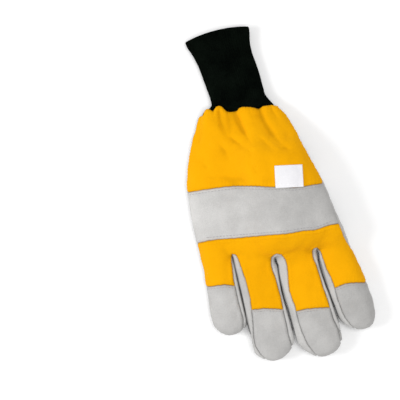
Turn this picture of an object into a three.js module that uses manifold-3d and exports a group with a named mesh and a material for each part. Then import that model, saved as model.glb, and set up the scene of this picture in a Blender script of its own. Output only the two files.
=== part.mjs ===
// A knit-cuffed glove for chainsaw work, right hand, lying palm down with its thumb folded under the palm.
// Millimetres, +Z up. The fingers point to -Y, the cuff to +Y, and the thumb side is +X.
// Leather palm, thumb, finger side strips, knuckle band and fingertip caps; cloth back; ribbed knit cuff;
// cloth tag.
import * as THREE from 'three';
import { mergeVertices } from 'three/addons/utils/BufferGeometryUtils.js';
import Module from 'manifold-3d';

const wasm = await Module();
wasm.setup();

// Walls and the clearances between sewn pieces
const coverWall = 2; // leather or cloth with its lining
const knitWall = 2.4; // double layer of the ribbed cuff
const tagWall = 0.8;
const pieceGap = 0.3;
const seatGap = 0.3; // tag to the cloth under it
const rootGap = 0.8; // cuff root to the wrist hem around it

// Hand part, from the gathered wrist hem to the knuckle line
const wristY = 88; // the wrist hem on the glove's middle line
const bodyLength = 138;
const gatherWidth = 72; // across the gathered wrist hem
const littleSideX = -66; // outer side at the little finger's knuckle, from the cuff's middle line
const palmRise = 16; // back of the hand above the side seam
const seamHeight = 9.5; // side seam above the surface that the glove lies on
const lowSeamHeight = 4.5; // seam between side strips and palm leather
const soleSink = 0.8; // how far the soft underside is flattened where it rests
const wristSlant = 0.1; // drop of the wrist hem towards the thumb side, per unit of width
const knuckleSlant = 0.167;
const knuckleArc = 12.5; // how far the knuckle line bows back at its outer ends
const topSquareness = 2.5; // exponent of the oval section: 2 is an ellipse, more is boxier
const underSquareness = 3.4;

// Fingers, from the little finger to the index finger
const slitWidth = 1.2; // between two fingers at the knuckles
const fingerRise = 11.5;
const fingerRoot = 34; // how far a finger's tube starts inside the hand part
const rootShrink = 0.72; // section of a finger's tube where it starts, as a share
const littleWidth = 31;
const ringWidth = 37.4;
const middleWidth = 38.4;
const indexWidth = 33.6;
const littleLength = 57.5;
const ringLength = 89;
const middleLength = 96.5;
const indexLength = 81;
const littleCap = 46; // leather cap from its seam to the fingertip
const ringCap = 47.5;
const middleCap = 45.5;
const indexCap = 43;
const stripWidth = 7.5; // widest side strip as seen from above
const crotchRise = 2.8; // top of the slit's opening above the slit's end

// Knuckle band
const bandWidth = 46;
const bandY = 0;
const sideReveal = 2.4; // palm leather that shows beside the band and the index knuckle

// Thumb, folded under the palm
const thumbWidth = 34;
const thumbThickness = 13.6;
const thumbReach = 64; // from the fold to the tip
const liftRun = 30; // over which the hand part rises onto the thumb, around the thumb's tip
const thumbFoldX = 51.5;
const thumbFoldY = 11;
const thumbTurn = 14; // degrees towards the fingers
const foldRadius = 8.6; // of the thumb's middle line where it turns under

// Knit cuff
const cuffLength = 72; // from the wrist hem to the opening
const cuffWidth = 50; // at its waist
const cuffMouthWidth = 57.5;
const cuffHeight = 12;
const cuffMouthHeight = 14.5;
const cuffShift = 2.7; // from the hem's middle to the waist's
const cuffLean = -4.7; // sideways shift of the opening from the waist
const cuffTuck = 7; // length of the root inside the wrist hem
const ribDepth = 0.9;
const ribCount = 28;

// Tag
const tagWidth = 25;
const tagHeight = 20;
const tagX = 29.8;
const tagY = 18.9;
const tagTurn = -11; // degrees

// Folds
const foldDepth = 3.2; // deepest gather at the wrist hem

// Facets
const bodyFacets = [18, 8]; // over the back, then under the palm
const fingerFacets = [8, 4];
const thumbFacets = [6, 6];
const cuffFacets = [ribCount, ribCount];
const mouthFacets = [8, 8]; // of the cuff's smooth inside

const FAR = 400; // reach of a cutting solid
const cutMargin = 30; // how far the cutting surfaces run past the glove
const thumbCutMargin = 40; // the same, on the thumb's side
const hemOverrun = 10; // how far the hollow is carried past the wrist hem, so that the hem stays open

// Sections of the hand part. along: share of its length from the wrist hem. left, right: share of the way
// from the gathered width to the knuckle width. rise: share of the back's rise.
const bodyRows = [
  { along: -0.1, left: -0.1, right: -0.12, rise: 0.53 },
  { along: 0, left: 0, right: 0, rise: 0.6 },
  { along: 0.06, left: 0.13, right: 0.11, rise: 0.68 },
  { along: 0.13, left: 0.28, right: 0.22, rise: 0.78 },
  { along: 0.2, left: 0.43, right: 0.31, rise: 0.87 },
  { along: 0.275, left: 0.57, right: 0.39, rise: 0.94 },
  { along: 0.355, left: 0.7, right: 0.48, rise: 0.98 },
  { along: 0.435, left: 0.8, right: 0.56, rise: 1 },
  { along: 0.515, left: 0.86, right: 0.63, rise: 1 },
  { along: 0.594, left: 0.9, right: 0.69, rise: 0.99 },
  { along: 0.69, left: 0.94, right: 0.76, rise: 0.97 },
  { along: 0.783, left: 0.97, right: 0.83, rise: 0.93 },
  { along: 0.87, left: 0.99, right: 0.88, rise: 0.89 },
  { along: 0.945, left: 1, right: 0.95, rise: 0.79 },
  { along: 0.98, left: 1, right: 0.98, rise: 0.56 },
  { along: 1, left: 1, right: 1, rise: 0.16 },
];

// Gathers of the cloth above the band. across: share of half the gathered width. drift: how far across the
// fold wanders down its length, as a share of the gathered width. width: share of the gathered width. depth:
// share of foldDepth. reach: share of the hand part's length.
const foldRows = [
  { across: -0.93, drift: -0.22, width: 0.055, depth: 0.75, reach: 0.42 },
  { across: -0.62, drift: -0.06, width: 0.032, depth: 0.5, reach: 0.16 },
  { across: -0.24, drift: -0.06, width: 0.085, depth: 1, reach: 0.36 },
  { across: 0.52, drift: 0.14, width: 0.05, depth: 0.62, reach: 0.36 },
];

// Notches of the gathered hem. across: share of half the gathered width. rise and arch: shares of hemRuffle,
// for the notch's height and for the scallop that follows it.
const hemRuffle = 6;
const hemRows = [
  { across: -0.93, rise: -0.2, arch: 0.8 },
  { across: -0.62, rise: 0.45, arch: 0.85 },
  { across: -0.29, rise: 0, arch: 0.1 },
  { across: -0.11, rise: -0.25, arch: 0.5 },
  { across: 0.51, rise: -0.2, arch: 0.25 },
  { across: 1, rise: 0, arch: 0 },
];

// Edges of the knuckle band. across: share of half the knuckle width. top, bottom: shares of bandWidth from
// bandY.
const bandRows = [
  { across: -1.4, top: 0.63, bottom: -0.4 },
  { across: -0.92, top: 0.59, bottom: -0.43 },
  { across: -0.45, top: 0.52, bottom: -0.49 },
  { across: 0, top: 0.37, bottom: -0.6 },
  { across: 0.24, top: 0.27, bottom: -0.65 },
  { across: 0.6, top: 0.16, bottom: -0.71 },
  { across: 0.9, top: 0.13, bottom: -0.71 },
  { across: 1.4, top: 0.12, bottom: -0.71 },
];

// Fingers. rootShare: width at the knuckles. lean: sideways shift of the tip as a share of the length.
// capSlope: drop of the cap's seam per unit of width. left, right: side strips as shares of stripWidth. crotch:
// share of the strips that shows at the top of the slit on the finger's thumb side. bare: share of fingerRoot
// that is full size.
const fingerRows = [
  {
    name: 'little', width: littleWidth, length: littleLength, cap: littleCap, rootShare: 0.9, lean: -0.03,
    capSlope: -0.2, left: 0, right: 0.45, crotch: 0.55, bare: 0.8,
  },
  {
    name: 'ring', width: ringWidth, length: ringLength, cap: ringCap, rootShare: 0.96, lean: -0.015,
    capSlope: -0.24, left: 0.93, right: 0.43, crotch: 0.95, bare: 0.2,
  },
  {
    name: 'middle', width: middleWidth, length: middleLength, cap: middleCap, rootShare: 0.975,
    lean: 0.045, capSlope: -0.13, left: 1, right: 0.32, crotch: 0.85, bare: 0.1,
  },
  {
    name: 'index', width: indexWidth, length: indexLength, cap: indexCap, rootShare: 0.87, lean: 0.11,
    capSlope: -0.08, left: 0.62, right: 0, crotch: 0, bare: 0.05,
  },
];

// Shares of a finger's tube: along from the knuckle line to the tip's round end, and the rise there
const fingerStations = [0, 0.28];
const tipStations = [1, 0.6, 0.33, 0.13, 0.02]; // shares of the round end still left to the tip
const tipRoundness = 0.8; // length of the round end as a share of the finger's width

// Values worked out from the sizes above
const knuckleY = wristY - bodyLength;
const knuckleWidth = fingerRows.reduce((sum, f) => sum + f.width * f.rootShare, 0) + 3 * slitWidth;
const thumbSideX = littleSideX + knuckleWidth;
const knuckleMiddleX = (littleSideX + thumbSideX) / 2;
let nextFingerX = littleSideX;
for (const finger of fingerRows) {
  finger.rootWidth = finger.width * finger.rootShare;
  finger.middleX = nextFingerX + finger.rootWidth / 2;
  nextFingerX += finger.rootWidth + slitWidth;
}

const clamp01 = (v) => Math.min(1, Math.max(0, v));
const smooth = (low, high, v) => {
  const t = clamp01((v - low) / (high - low));
  return t * t * (3 - 2 * t);
};
const mix = (a, b, t) => a + (b - a) * t;

// Reads one column of a table of rows at a value of its key column.
function readRow(rows, key, column, at) {
  const last = rows.length - 1;
  let i = 0;
  while (i < last - 1 && at > rows[i + 1][key]) i += 1;
  const t = (at - rows[i][key]) / (rows[i + 1][key] - rows[i][key]);
  return mix(rows[i][column], rows[i + 1][column], t);
}

// How far the hand part is lifted where it lies on the folded thumb.
function thumbLift(x, y) {
  const tipX = thumbFoldX - thumbReach;
  const acrossThumb = smooth(tipX - 0.4 * liftRun, tipX + 0.6 * liftRun, x);
  const wristEnd = 1 - smooth(thumbFoldY + thumbWidth * 0.68, thumbFoldY + thumbWidth * 2, y);
  const fingerEnd = smooth(thumbFoldY - thumbWidth * 2.15, thumbFoldY - thumbWidth * 1.15, y);
  return (thumbThickness + soleSink + seatGap) * acrossThumb * wristEnd * fingerEnd;
}

// A section of the hand part has its Y slanted and bowed across the width.
function sectionY(along, x) {
  const fromMiddle = (x - knuckleMiddleX) / (knuckleWidth / 2);
  const slant = mix(wristSlant, knuckleSlant, along);
  const bow = knuckleArc * clamp01(along) ** 2 * fromMiddle ** 2;
  return wristY - bodyLength * along - slant * x + bow;
}

// The share of the hand part's length at a point seen from above.
function alongAt(x, y) {
  let low = bodyRows[0].along;
  let high = 1;
  for (let i = 0; i < 30; i += 1) {
    const middle = (low + high) / 2;
    if (sectionY(middle, x) > y) low = middle;
    else high = middle;
  }
  return (low + high) / 2;
}

const leftEdge = (along) => mix(-gatherWidth / 2, littleSideX, readRow(bodyRows, 'along', 'left', along));
const rightEdge = (along) => mix(gatherWidth / 2, thumbSideX, readRow(bodyRows, 'along', 'right', along));

// Depth of the gathers at a point of the back.
function gatherDepth(along, x) {
  let depth = 0;
  for (const fold of foldRows) {
    const fade = 1 - smooth(0, fold.reach, along);
    const foldX = (fold.across / 2 + (fold.drift * clamp01(along)) / fold.reach) * gatherWidth;
    const foldWidth = fold.width * gatherWidth * (1 + along / fold.reach);
    depth += fold.depth * foldDepth * fade * Math.exp(-(((x - foldX) / foldWidth) ** 2));
  }
  return depth;
}

// Oval section with its own height above and depth below the side seam, and its own facets over and under it.
function oval([over, under], halfWidth, rise, depth, place) {
  const points = [];
  for (let i = 0; i < over + under; i += 1) {
    const angle = i < over ? (Math.PI * i) / over : Math.PI * (1 + (i - over) / under);
    const c = Math.cos(angle);
    const s = Math.sin(angle);
    const power = 2 / (s >= 0 ? topSquareness : underSquareness);
    const u = Math.sign(c) * Math.abs(c) ** power * halfWidth;
    const v = Math.sign(s) * Math.abs(s) ** power * (s >= 0 ? rise : depth);
    points.push(place(u, v));
  }
  return points;
}

// Section of the hand part, drawn in by inset on every side.
function bodyRing(along, inset) {
  const left = leftEdge(along) + inset;
  const right = rightEdge(along) - inset;
  const rise = readRow(bodyRows, 'along', 'rise', along) * palmRise;
  const end = along > 0.9 ? rise / (0.8 * palmRise) : 1;
  const squeeze = clamp01(end);
  return oval(
    bodyFacets,
    (right - left) / 2,
    Math.max(rise - inset, 0.5),
    Math.max((seamHeight + soleSink) * squeeze - inset, 0.5),
    (u, v) => {
      const x = (left + right) / 2 + u;
      const y = sectionY(along, x);
      const edgeFade = v > 0 ? clamp01(v / (0.5 * rise)) : 0;
      const z = seamHeight + v + thumbLift(x, y) - gatherDepth(along, x) * edgeFade;
      return new THREE.Vector3(x, y, z);
    },
  );
}

// Height of the back at a point seen from above.
function backHeight(x, y) {
  const along = alongAt(x, y);
  const left = leftEdge(along);
  const right = rightEdge(along);
  const u = Math.min(1, Math.abs((2 * x - left - right) / (right - left)));
  const rise = readRow(bodyRows, 'along', 'rise', along) * palmRise;
  const crown = rise * (1 - u ** topSquareness) ** (1 / topSquareness);
  return seamHeight + crown + thumbLift(x, y) - gatherDepth(along, x);
}

// A finger's middle line, half width and closing share at a distance below the knuckle line.
function fingerAt(finger, below) {
  const shareDown = clamp01(below / finger.length);
  const round = tipRoundness * finger.width;
  const left = clamp01((finger.length - below) / round);
  const closing = Math.sqrt(1 - (1 - left) ** 2);
  const widening = mix(finger.rootShare, 1, smooth(0, 0.55, shareDown));
  const rooting = mix(1, rootShrink, smooth(finger.bare, 1, -below / fingerRoot));
  return {
    middleX: finger.middleX + finger.lean * below,
    half: (finger.width / 2) * widening * closing * rooting,
    closing,
    rooting,
  };
}

// Section of a finger, drawn in by inset on every side.
function fingerRing(finger, below, inset, tipInset) {
  const here = fingerAt(finger, below);
  const closing = Math.max(here.closing, 0.02);
  const half = Math.max(here.half - inset * closing, 0.4);
  const y = knuckleY - below + tipInset;
  const rise = Math.max((fingerRise * here.rooting - inset) * closing ** 0.8, 0.3);
  const depth = Math.max(((seamHeight + soleSink) * here.rooting - inset) * closing ** 0.7, 0.3);
  return oval(fingerFacets, half, rise, depth, (u, v) => {
    const x = here.middleX + u;
    return new THREE.Vector3(x, y, seamHeight + v + thumbLift(x, y));
  });
}

// Joins a list of equal rings into a closed geometry with both ends capped.
function loft(rings) {
  const count = rings[0].length;
  const positions = rings.flat().flatMap((p) => [p.x, p.y, p.z]);
  const faces = [];
  for (let r = 0; r < rings.length - 1; r += 1) {
    const next = r + 1;
    for (let i = 0; i < count; i += 1) {
      const j = (i + 1) % count;
      const corners = [r * count + i, r * count + j, next * count + j, next * count + i];
      faces.push(corners[0], corners[1], corners[2], corners[0], corners[2], corners[3]);
    }
  }
  addCap(faces, 0, count, true);
  addCap(faces, (rings.length - 1) * count, count, false);
  const geometry = new THREE.BufferGeometry();
  geometry.setAttribute('position', new THREE.Float32BufferAttribute(positions, 3));
  geometry.setIndex(faces);
  return geometry;
}

// Fills a ring by joining each point above to its partner below.
function addCap(faces, start, count, reversed) {
  for (let i = 0; i < count / 2; i += 1) {
    const a = start + i;
    const b = start + i + 1;
    const c = start + count - i - 1;
    const d = start + ((count - i) % count);
    for (const corners of [[a, b, c], [a, c, d]]) {
      if (new Set(corners).size < 3) continue;
      faces.push(...(reversed ? corners.reverse() : corners));
    }
  }
}

// A closed geometry as a solid with its faces pointing out.
function solidOf(geometry) {
  const bare = geometry.index ? geometry : geometry.clone();
  bare.deleteAttribute('normal');
  bare.deleteAttribute('uv');
  const merged = mergeVertices(bare, 1e-4);
  const triVerts = new Uint32Array(merged.index.array);
  const vertProperties = new Float32Array(merged.attributes.position.array);
  const make = () => new wasm.Manifold(new wasm.Mesh({ numProp: 3, vertProperties, triVerts }));
  const solid = make();
  if (solid.volume() > 0) return solid;
  for (let i = 0; i < triVerts.length; i += 3) {
    [triVerts[i + 1], triVerts[i + 2]] = [triVerts[i + 2], triVerts[i + 1]];
  }
  return make();
}

// An upright solid over an outline seen from above.
function prism(outline) {
  const shape = new THREE.Shape(outline.map(([x, y]) => new THREE.Vector2(x, y)));
  const geometry = new THREE.ExtrudeGeometry(shape, { depth: FAR, bevelEnabled: false });
  geometry.translate(0, 0, -FAR / 2);
  return solidOf(geometry);
}

// An outline moved outwards by a small distance, or inwards where it is negative.
function grow(outline, distance) {
  let area = 0;
  outline.forEach(([x, y], i) => {
    const [nextX, nextY] = outline[(i + 1) % outline.length];
    area += (x * nextY - nextX * y) / 2;
  });
  const side = Math.sign(area);
  return outline.map((point, i) => {
    const before = outline[(i + outline.length - 1) % outline.length];
    const after = outline[(i + 1) % outline.length];
    const inDirection = new THREE.Vector2(point[0] - before[0], point[1] - before[1]).normalize();
    const outDirection = new THREE.Vector2(after[0] - point[0], after[1] - point[1]).normalize();
    const along = inDirection.clone().add(outDirection).normalize();
    const stretch = Math.max(0.5, along.dot(inDirection));
    const reach = (side * distance) / stretch;
    return [point[0] + along.y * reach, point[1] - along.x * reach];
  });
}

// Everything above a level that follows the lift of the folded thumb.
function above(level) {
  const columns = 8;
  const rows = 12;
  const west = littleSideX - cutMargin;
  const east = thumbSideX + thumbCutMargin;
  const south = knuckleY - middleLength - cutMargin;
  const north = wristY + cuffLength + cutMargin;
  const rings = [];
  for (let r = 0; r <= rows; r += 1) {
    const y = mix(south, north, r / rows);
    const floor = [];
    const roof = [];
    for (let c = 0; c <= columns; c += 1) {
      const x = mix(west, east, c / columns);
      floor.push(new THREE.Vector3(x, y, level + thumbLift(x, y)));
      roof.unshift(new THREE.Vector3(x, y, FAR / 2));
    }
    rings.push([...floor, ...roof]);
  }
  return solidOf(slabLoft(rings));
}

// Joins rings that are a lower row of points followed by an upper row in the other direction.
function slabLoft(rings) {
  const geometry = loft(rings);
  const count = rings[0].length;
  const faces = Array.from(geometry.index.array).slice(0, (rings.length - 1) * count * 6);
  for (const [start, reversed] of [[0, true], [(rings.length - 1) * count, false]]) {
    for (let i = 0; i < count / 2 - 1; i += 1) {
      const corners = [start + i, start + i + 1, start + count - i - 2, start + count - i - 1];
      const pair = [corners[0], corners[1], corners[2], corners[0], corners[2], corners[3]];
      faces.push(...(reversed ? pair.reverse() : pair));
    }
  }
  geometry.setIndex(faces);
  return geometry;
}

function block(lowZ) {
  const geometry = new THREE.BoxGeometry(FAR * 2, FAR * 2, FAR);
  geometry.translate(0, 0, lowZ + FAR / 2);
  return solidOf(geometry);
}

// Hand part and fingers as one form, drawn in by inset. The hollow form runs out past the wrist hem.
function handForm(inset) {
  const bodyRings = bodyRows.map((row, i) => {
    const ring = bodyRing(row.along, inset);
    const shift = i === 0 && inset > 0 ? hemOverrun : 0;
    const frontInset = row.along > 0.9 ? inset * smooth(0.9, 1, row.along) : 0;
    return ring.map((p) => p.clone().setY(p.y + shift + frontInset));
  });
  let form = solidOf(loft(bodyRings));
  for (const finger of fingerRows) {
    const round = tipRoundness * finger.width;
    const straight = finger.length - round;
    const belows = [-fingerRoot, -fingerRoot * finger.bare, ...fingerStations.map((s) => s * straight)];
    tipStations.forEach((left) => belows.push(finger.length - left * round));
    const rings = belows.map((below) => {
      const tipShare = smooth(straight, finger.length, below);
      return fingerRing(finger, below, inset, inset * tipShare);
    });
    form = form.add(solidOf(loft(rings)));
  }
  return form;
}

// Thumb: an oval tube whose middle line starts inside the palm, turns under at the fold and runs to its tip.
function thumbForm(inset) {
  const turn = THREE.MathUtils.degToRad(thumbTurn);
  const ahead = new THREE.Vector3(-Math.cos(turn), -Math.sin(turn), 0);
  const side = new THREE.Vector3(Math.sin(turn), -Math.cos(turn), 0);
  const fold = new THREE.Vector3(thumbFoldX, thumbFoldY, 0);
  const halfThickness = thumbThickness / 2;
  const lowZ = halfThickness - soleSink / 2;
  const stations = [
    { r: foldRadius + 6, z: lowZ + 2 * foldRadius, tangent: Math.PI, width: 0.84, thick: 0.8 },
  ];
  for (const share of [0, 0.25, 0.5, 0.75, 1]) {
    const angle = Math.PI * (0.5 + share);
    stations.push({
      r: foldRadius + foldRadius * Math.cos(angle),
      z: lowZ + foldRadius + foldRadius * Math.sin(Math.PI / 2 - Math.PI * share),
      tangent: Math.PI * (1 - share) + Math.PI * 2 * share,
      width: mix(0.84, 1, share),
      thick: mix(0.8, 0.95, share),
    });
  }
  const round = thumbWidth * 0.6;
  for (const share of [0.3, 0.6, 0.85]) {
    const r = mix(foldRadius, thumbReach - round, share);
    stations.push({ r, z: lowZ, tangent: 0, width: 1, thick: 1 });
  }
  for (const left of tipStations) {
    const closing = Math.sqrt(1 - (1 - left) ** 2);
    const r = thumbReach - left * round - inset * (1 - left);
    stations.push({ r, z: lowZ, tangent: 0, width: closing, thick: closing ** 0.7 });
  }
  const rings = stations.map((station) => {
    const halfWidth = Math.max((thumbWidth / 2 - inset) * station.width, 0.4);
    const half = Math.max((halfThickness - inset) * station.thick, 0.3);
    const upR = -Math.sin(station.tangent);
    const upZ = Math.cos(station.tangent);
    return oval(thumbFacets, halfWidth, half, half, (u, v) => {
      const r = station.r + upR * v;
      return fold.clone().addScaledVector(ahead, r).addScaledVector(side, u).setZ(station.z + upZ * v);
    });
  });
  return solidOf(loft(rings));
}

// Left and right seams of a finger's top panel at a distance below the knuckle line.
function seamX(finger, below, sideName) {
  const here = fingerAt(finger, below);
  const round = tipRoundness * finger.width;
  const atCrotch = smooth(-6, 8, below);
  const nearTip = smooth(0.25 * round, 0.9 * round, finger.length - below);
  const width = stripWidth * finger[sideName] * mix(0.8, 1, atCrotch) * nearTip;
  const out = 1.5 * (1 - nearTip);
  const fromMiddle = here.half - width + out;
  return sideName === 'left' ? here.middleX - fromMiddle : here.middleX + fromMiddle;
}

// Outline of the opening between two fingers, seen from above, between the two top panels' seams.
function slitOutline(finger, neighbour) {
  const slitX = finger.middleX + finger.rootWidth / 2 + slitWidth / 2;
  const crotch = knuckleY - sectionY(1, slitX);
  const steps = 12;
  const points = [];
  const lowest = (f) => f.length - 0.22 * tipRoundness * f.width;
  const start = crotch + 4;
  for (let i = 0; i <= steps; i += 1) {
    const below = mix(start, lowest(finger), i / steps);
    points.push([seamX(finger, below, 'right'), knuckleY - below]);
  }
  for (let i = steps; i >= 0; i -= 1) {
    const below = mix(start, lowest(neighbour), i / steps);
    points.push([seamX(neighbour, below, 'left'), knuckleY - below]);
  }
  const rightTop = points[points.length - 1];
  const leftTop = points[0];
  const middleX = mix(slitX, (rightTop[0] + leftTop[0]) / 2, finger.crotch);
  const halfTop = (finger.crotch * (rightTop[0] - leftTop[0])) / 2;
  const height = crotchRise + 4;
  for (const angle of [20, 55, 90, 125, 160]) {
    const a = THREE.MathUtils.degToRad(angle);
    points.push([middleX + halfTop * Math.cos(a), knuckleY - start + height * Math.sin(a)]);
  }
  return points;
}

// Outline below a finger's cap seam, wide enough to hold the cap.
function capOutline(finger, index) {
  const seamBelow = finger.length - finger.cap;
  const here = fingerAt(finger, seamBelow);
  const seamAt = (x) => knuckleY - seamBelow + finger.capSlope * (x - here.middleX);
  const leftX = index === 0 ? here.middleX - finger.width : here.middleX - finger.width / 2 - 0.5;
  const rightX = index === 3 ? here.middleX + finger.width : here.middleX + finger.width / 2 + 0.5;
  const endY = knuckleY - finger.length - 10;
  const drift = finger.lean * finger.cap;
  return [
    [leftX, seamAt(leftX)],
    [leftX + Math.min(drift, 0) - 2, endY],
    [rightX + Math.max(drift, 0) + 2, endY],
    [rightX, seamAt(rightX)],
  ];
}

// Top and bottom edges of the knuckle band, from left to right.
const bandEdge = (column) => bandRows.map((row) => [
  knuckleMiddleX + (row.across * knuckleWidth) / 2,
  bandY + row[column] * bandWidth,
]);

// Scalloped edge of the gathered hem, from left to right.
function hemEdge() {
  const points = [[-gatherWidth, sectionY(0, -gatherWidth)]];
  hemRows.forEach((row, i) => {
    const x = (row.across * gatherWidth) / 2;
    const notchY = sectionY(0, x) + row.rise * hemRuffle;
    points.push([x, notchY]);
    const next = hemRows[i + 1];
    if (!next) return;
    const nextX = (next.across * gatherWidth) / 2;
    const nextY = sectionY(0, nextX) + next.rise * hemRuffle;
    for (const share of [0.2, 0.5, 0.8]) {
      const arch = row.arch * hemRuffle * Math.sin(Math.PI * share);
      points.push([mix(x, nextX, share), mix(notchY, nextY, share) + arch]);
    }
  });
  points.push([gatherWidth, sectionY(0, gatherWidth)]);
  return points;
}

// Outline of everything that the back's top pieces may cover. Its right side leaves the strip of palm leather
// that shows beside the band and the index knuckle.
function topOutline() {
  const points = [[-FAR / 2, FAR / 2], [-FAR / 2, -FAR / 2], [FAR / 2, -FAR / 2]];
  const lowY = bandY - 1.3 * bandWidth;
  const highY = bandY + 0.17 * bandWidth;
  points.push([FAR / 2, lowY - 6]);
  for (let i = 0; i <= 8; i += 1) {
    const y = mix(lowY, highY, i / 8);
    const reveal = sideReveal * smooth(0, 0.3, i / 8) * (1 - smooth(0.8, 1, i / 8));
    const outside = 1 - Math.min(1, (reveal / sideReveal) * 2);
    points.push([sideAt(y) - reveal + outside * 2, y]);
  }
  points.push([FAR / 2, highY + 6]);
  points.push([FAR / 2, FAR / 2]);
  return points;
}

// X of the thumb side's outer edge at a place along Y.
function sideAt(y) {
  let x = thumbSideX;
  for (let i = 0; i < 8; i += 1) x = rightEdge(clamp01(alongAt(x, y)));
  const index = fingerRows[3];
  const here = fingerAt(index, knuckleY - y);
  return Math.max(x, y < knuckleY + fingerRoot ? here.middleX + here.half : x);
}

// The same section with other facets, its points on the sides of the first one.
function resample(ring, [oldOver, oldUnder], [over, under]) {
  return Array.from({ length: over + under }, (_, i) => {
    const at = i < over ? (i * oldOver) / over : oldOver + ((i - over) * oldUnder) / under;
    const from = Math.floor(at);
    return ring[from].clone().lerp(ring[(from + 1) % ring.length], at - from);
  });
}

// Knit cuff. Its root follows the inside of the wrist hem, and its ribs fade in past the hem.
function cuffForm() {
  const stations = [
    { past: -cuffTuck, body: 1, width: 0, mouth: 0 },
    { past: 0.5, body: 1, width: 0, mouth: 0 },
    { past: 5, body: 0.35, width: 0.65, mouth: 0.1 },
    { past: 0.16 * cuffLength, body: 0, width: 1, mouth: 0.2 },
    { past: 0.5 * cuffLength, body: 0, width: 1, mouth: 0 },
    { past: 0.82 * cuffLength, body: 0, width: 1, mouth: 0.5 },
    { past: cuffLength, body: 0, width: 1, mouth: 1 },
  ];
  const ringAt = (station, inset, facets) => {
    const rootAlong = -Math.min(station.past, 0.09 * bodyLength) / bodyLength;
    const root = resample(bodyRing(rootAlong, coverWall + rootGap + inset), bodyFacets, facets);
    const share = clamp01(station.past / cuffLength);
    const half = mix(cuffWidth, cuffMouthWidth, station.mouth) / 2 - inset;
    const halfHeight = mix(cuffHeight, cuffMouthHeight, station.mouth) / 2;
    const ribs = ribDepth * station.width * (inset > 0 ? 0 : 1);
    let i = 0;
    const free = oval(facets, half, halfHeight - inset, halfHeight - inset, (u, v) => {
      const rib = i % 2 === 0 ? 0 : ribs;
      i += 1;
      const reach = Math.hypot(u, v);
      const x = cuffShift + cuffLean * share + u * (1 - rib / reach);
      const bow = 3 * station.mouth * (1 - (u / half) ** 2);
      const y = wristY + station.past + bow - wristSlant * x * (1 - share);
      return new THREE.Vector3(x, y, halfHeight + v * (1 - rib / reach));
    });
    return free.map((p, k) => {
      const { x } = root[k];
      const z = Math.max(root[k].z, coverWall + rootGap + inset);
      const inHem = new THREE.Vector3(x, sectionY(0, x) + station.past, z);
      return p.clone().lerp(inHem, station.body);
    });
  };
  const outside = solidOf(loft(stations.map((station) => ringAt(station, 0, cuffFacets))));
  const insideRings = stations.map((station, i) => {
    const past = station.past + (i === 0 ? -1 : i === stations.length - 1 ? 1 : 0) * knitWall;
    return ringAt({ ...station, past }, knitWall, mouthFacets);
  });
  return outside.subtract(solidOf(loft(insideRings)));
}

// Cloth tag lying on the back, with its lower edge at the band's seam.
function tagForm() {
  const turn = THREE.MathUtils.degToRad(tagTurn);
  const columns = 4;
  const rows = 3;
  const rings = [];
  for (let r = 0; r <= rows; r += 1) {
    const floor = [];
    const roof = [];
    for (let c = 0; c <= columns; c += 1) {
      const across = (c / columns - 0.5) * tagWidth;
      const up = (r / rows - 0.5) * tagHeight;
      const x = tagX + across * Math.cos(turn) - up * Math.sin(turn);
      const y = tagY + across * Math.sin(turn) + up * Math.cos(turn);
      const z = backHeight(x, y) + seatGap;
      floor.push(new THREE.Vector3(x, y, z));
      roof.unshift(new THREE.Vector3(x, y, z + tagWall));
    }
    rings.push([...floor, ...roof]);
  }
  return solidOf(slabLoft(rings));
}

// Materials
const fabric = (color, roughness) => new THREE.MeshStandardMaterial({ color, roughness, metalness: 0 });
const yellowCloth = fabric(0xfdb70d, 0.8);
const greyLeather = fabric(0xc4c3c0, 0.85);
const blackKnit = fabric(0x0b0d0c, 0.95);
const whiteCloth = fabric(0xf2f1f4, 0.7);

const glove = new THREE.Group();

// Adds a piece without the crumbs that crossing cuts leave.
function addPiece(name, solid, material) {
  const bodies = solid.decompose().sort((a, b) => b.volume() - a.volume());
  const mesh = bodies[0].getMesh();
  const geometry = new THREE.BufferGeometry();
  geometry.setAttribute('position', new THREE.BufferAttribute(mesh.vertProperties, 3));
  geometry.setIndex(new THREE.BufferAttribute(mesh.triVerts, 1));
  geometry.computeVertexNormals();
  const piece = new THREE.Mesh(geometry, material);
  piece.name = name;
  glove.add(piece);
}

// The hollow shell, flattened where it rests
const halfGap = pieceGap / 2;
const outer = handForm(0).intersect(block(0));
const hollow = handForm(coverWall).intersect(block(coverWall));
const shell = outer.subtract(hollow);

// The regions that part it into pieces
const hem = hemEdge();
const bandTop = bandEdge('top');
const bandBottom = bandEdge('bottom');
const wristOutline = [
  ...hem,
  [FAR / 2, hem[hem.length - 1][1]],
  ...bandTop.slice().reverse(),
  [-FAR / 2, bandTop[0][1]],
  [-FAR / 2, hem[0][1]],
];
const bandOutline = [...bandTop, ...bandBottom.slice().reverse()];
const slits = [0, 1, 2].map((i) => slitOutline(fingerRows[i], fingerRows[i + 1]));
const caps = fingerRows.map((finger, i) => capOutline(finger, i));

const topRegion = prism(grow(topOutline(), -halfGap)).intersect(above(seamHeight + halfGap));
let topShell = shell.intersect(topRegion);
for (const slit of slits) topShell = topShell.subtract(prism(grow(slit, halfGap)));

addPiece('back_upper', topShell.intersect(prism(grow(wristOutline, -halfGap))), yellowCloth);
addPiece('knuckle_band', topShell.intersect(prism(grow(bandOutline, -halfGap))), greyLeather);

const belowBand = [...bandBottom, [FAR / 2, -FAR / 2], [-FAR / 2, -FAR / 2]];
let backLower = topShell.intersect(prism(grow(belowBand, -halfGap)));
for (const cap of caps) backLower = backLower.subtract(prism(grow(cap, halfGap)));
addPiece('back_lower', backLower, yellowCloth);
fingerRows.forEach((finger, i) => {
  addPiece(finger.name + '_cap', topShell.intersect(prism(grow(caps[i], -halfGap))), greyLeather);
});

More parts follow.
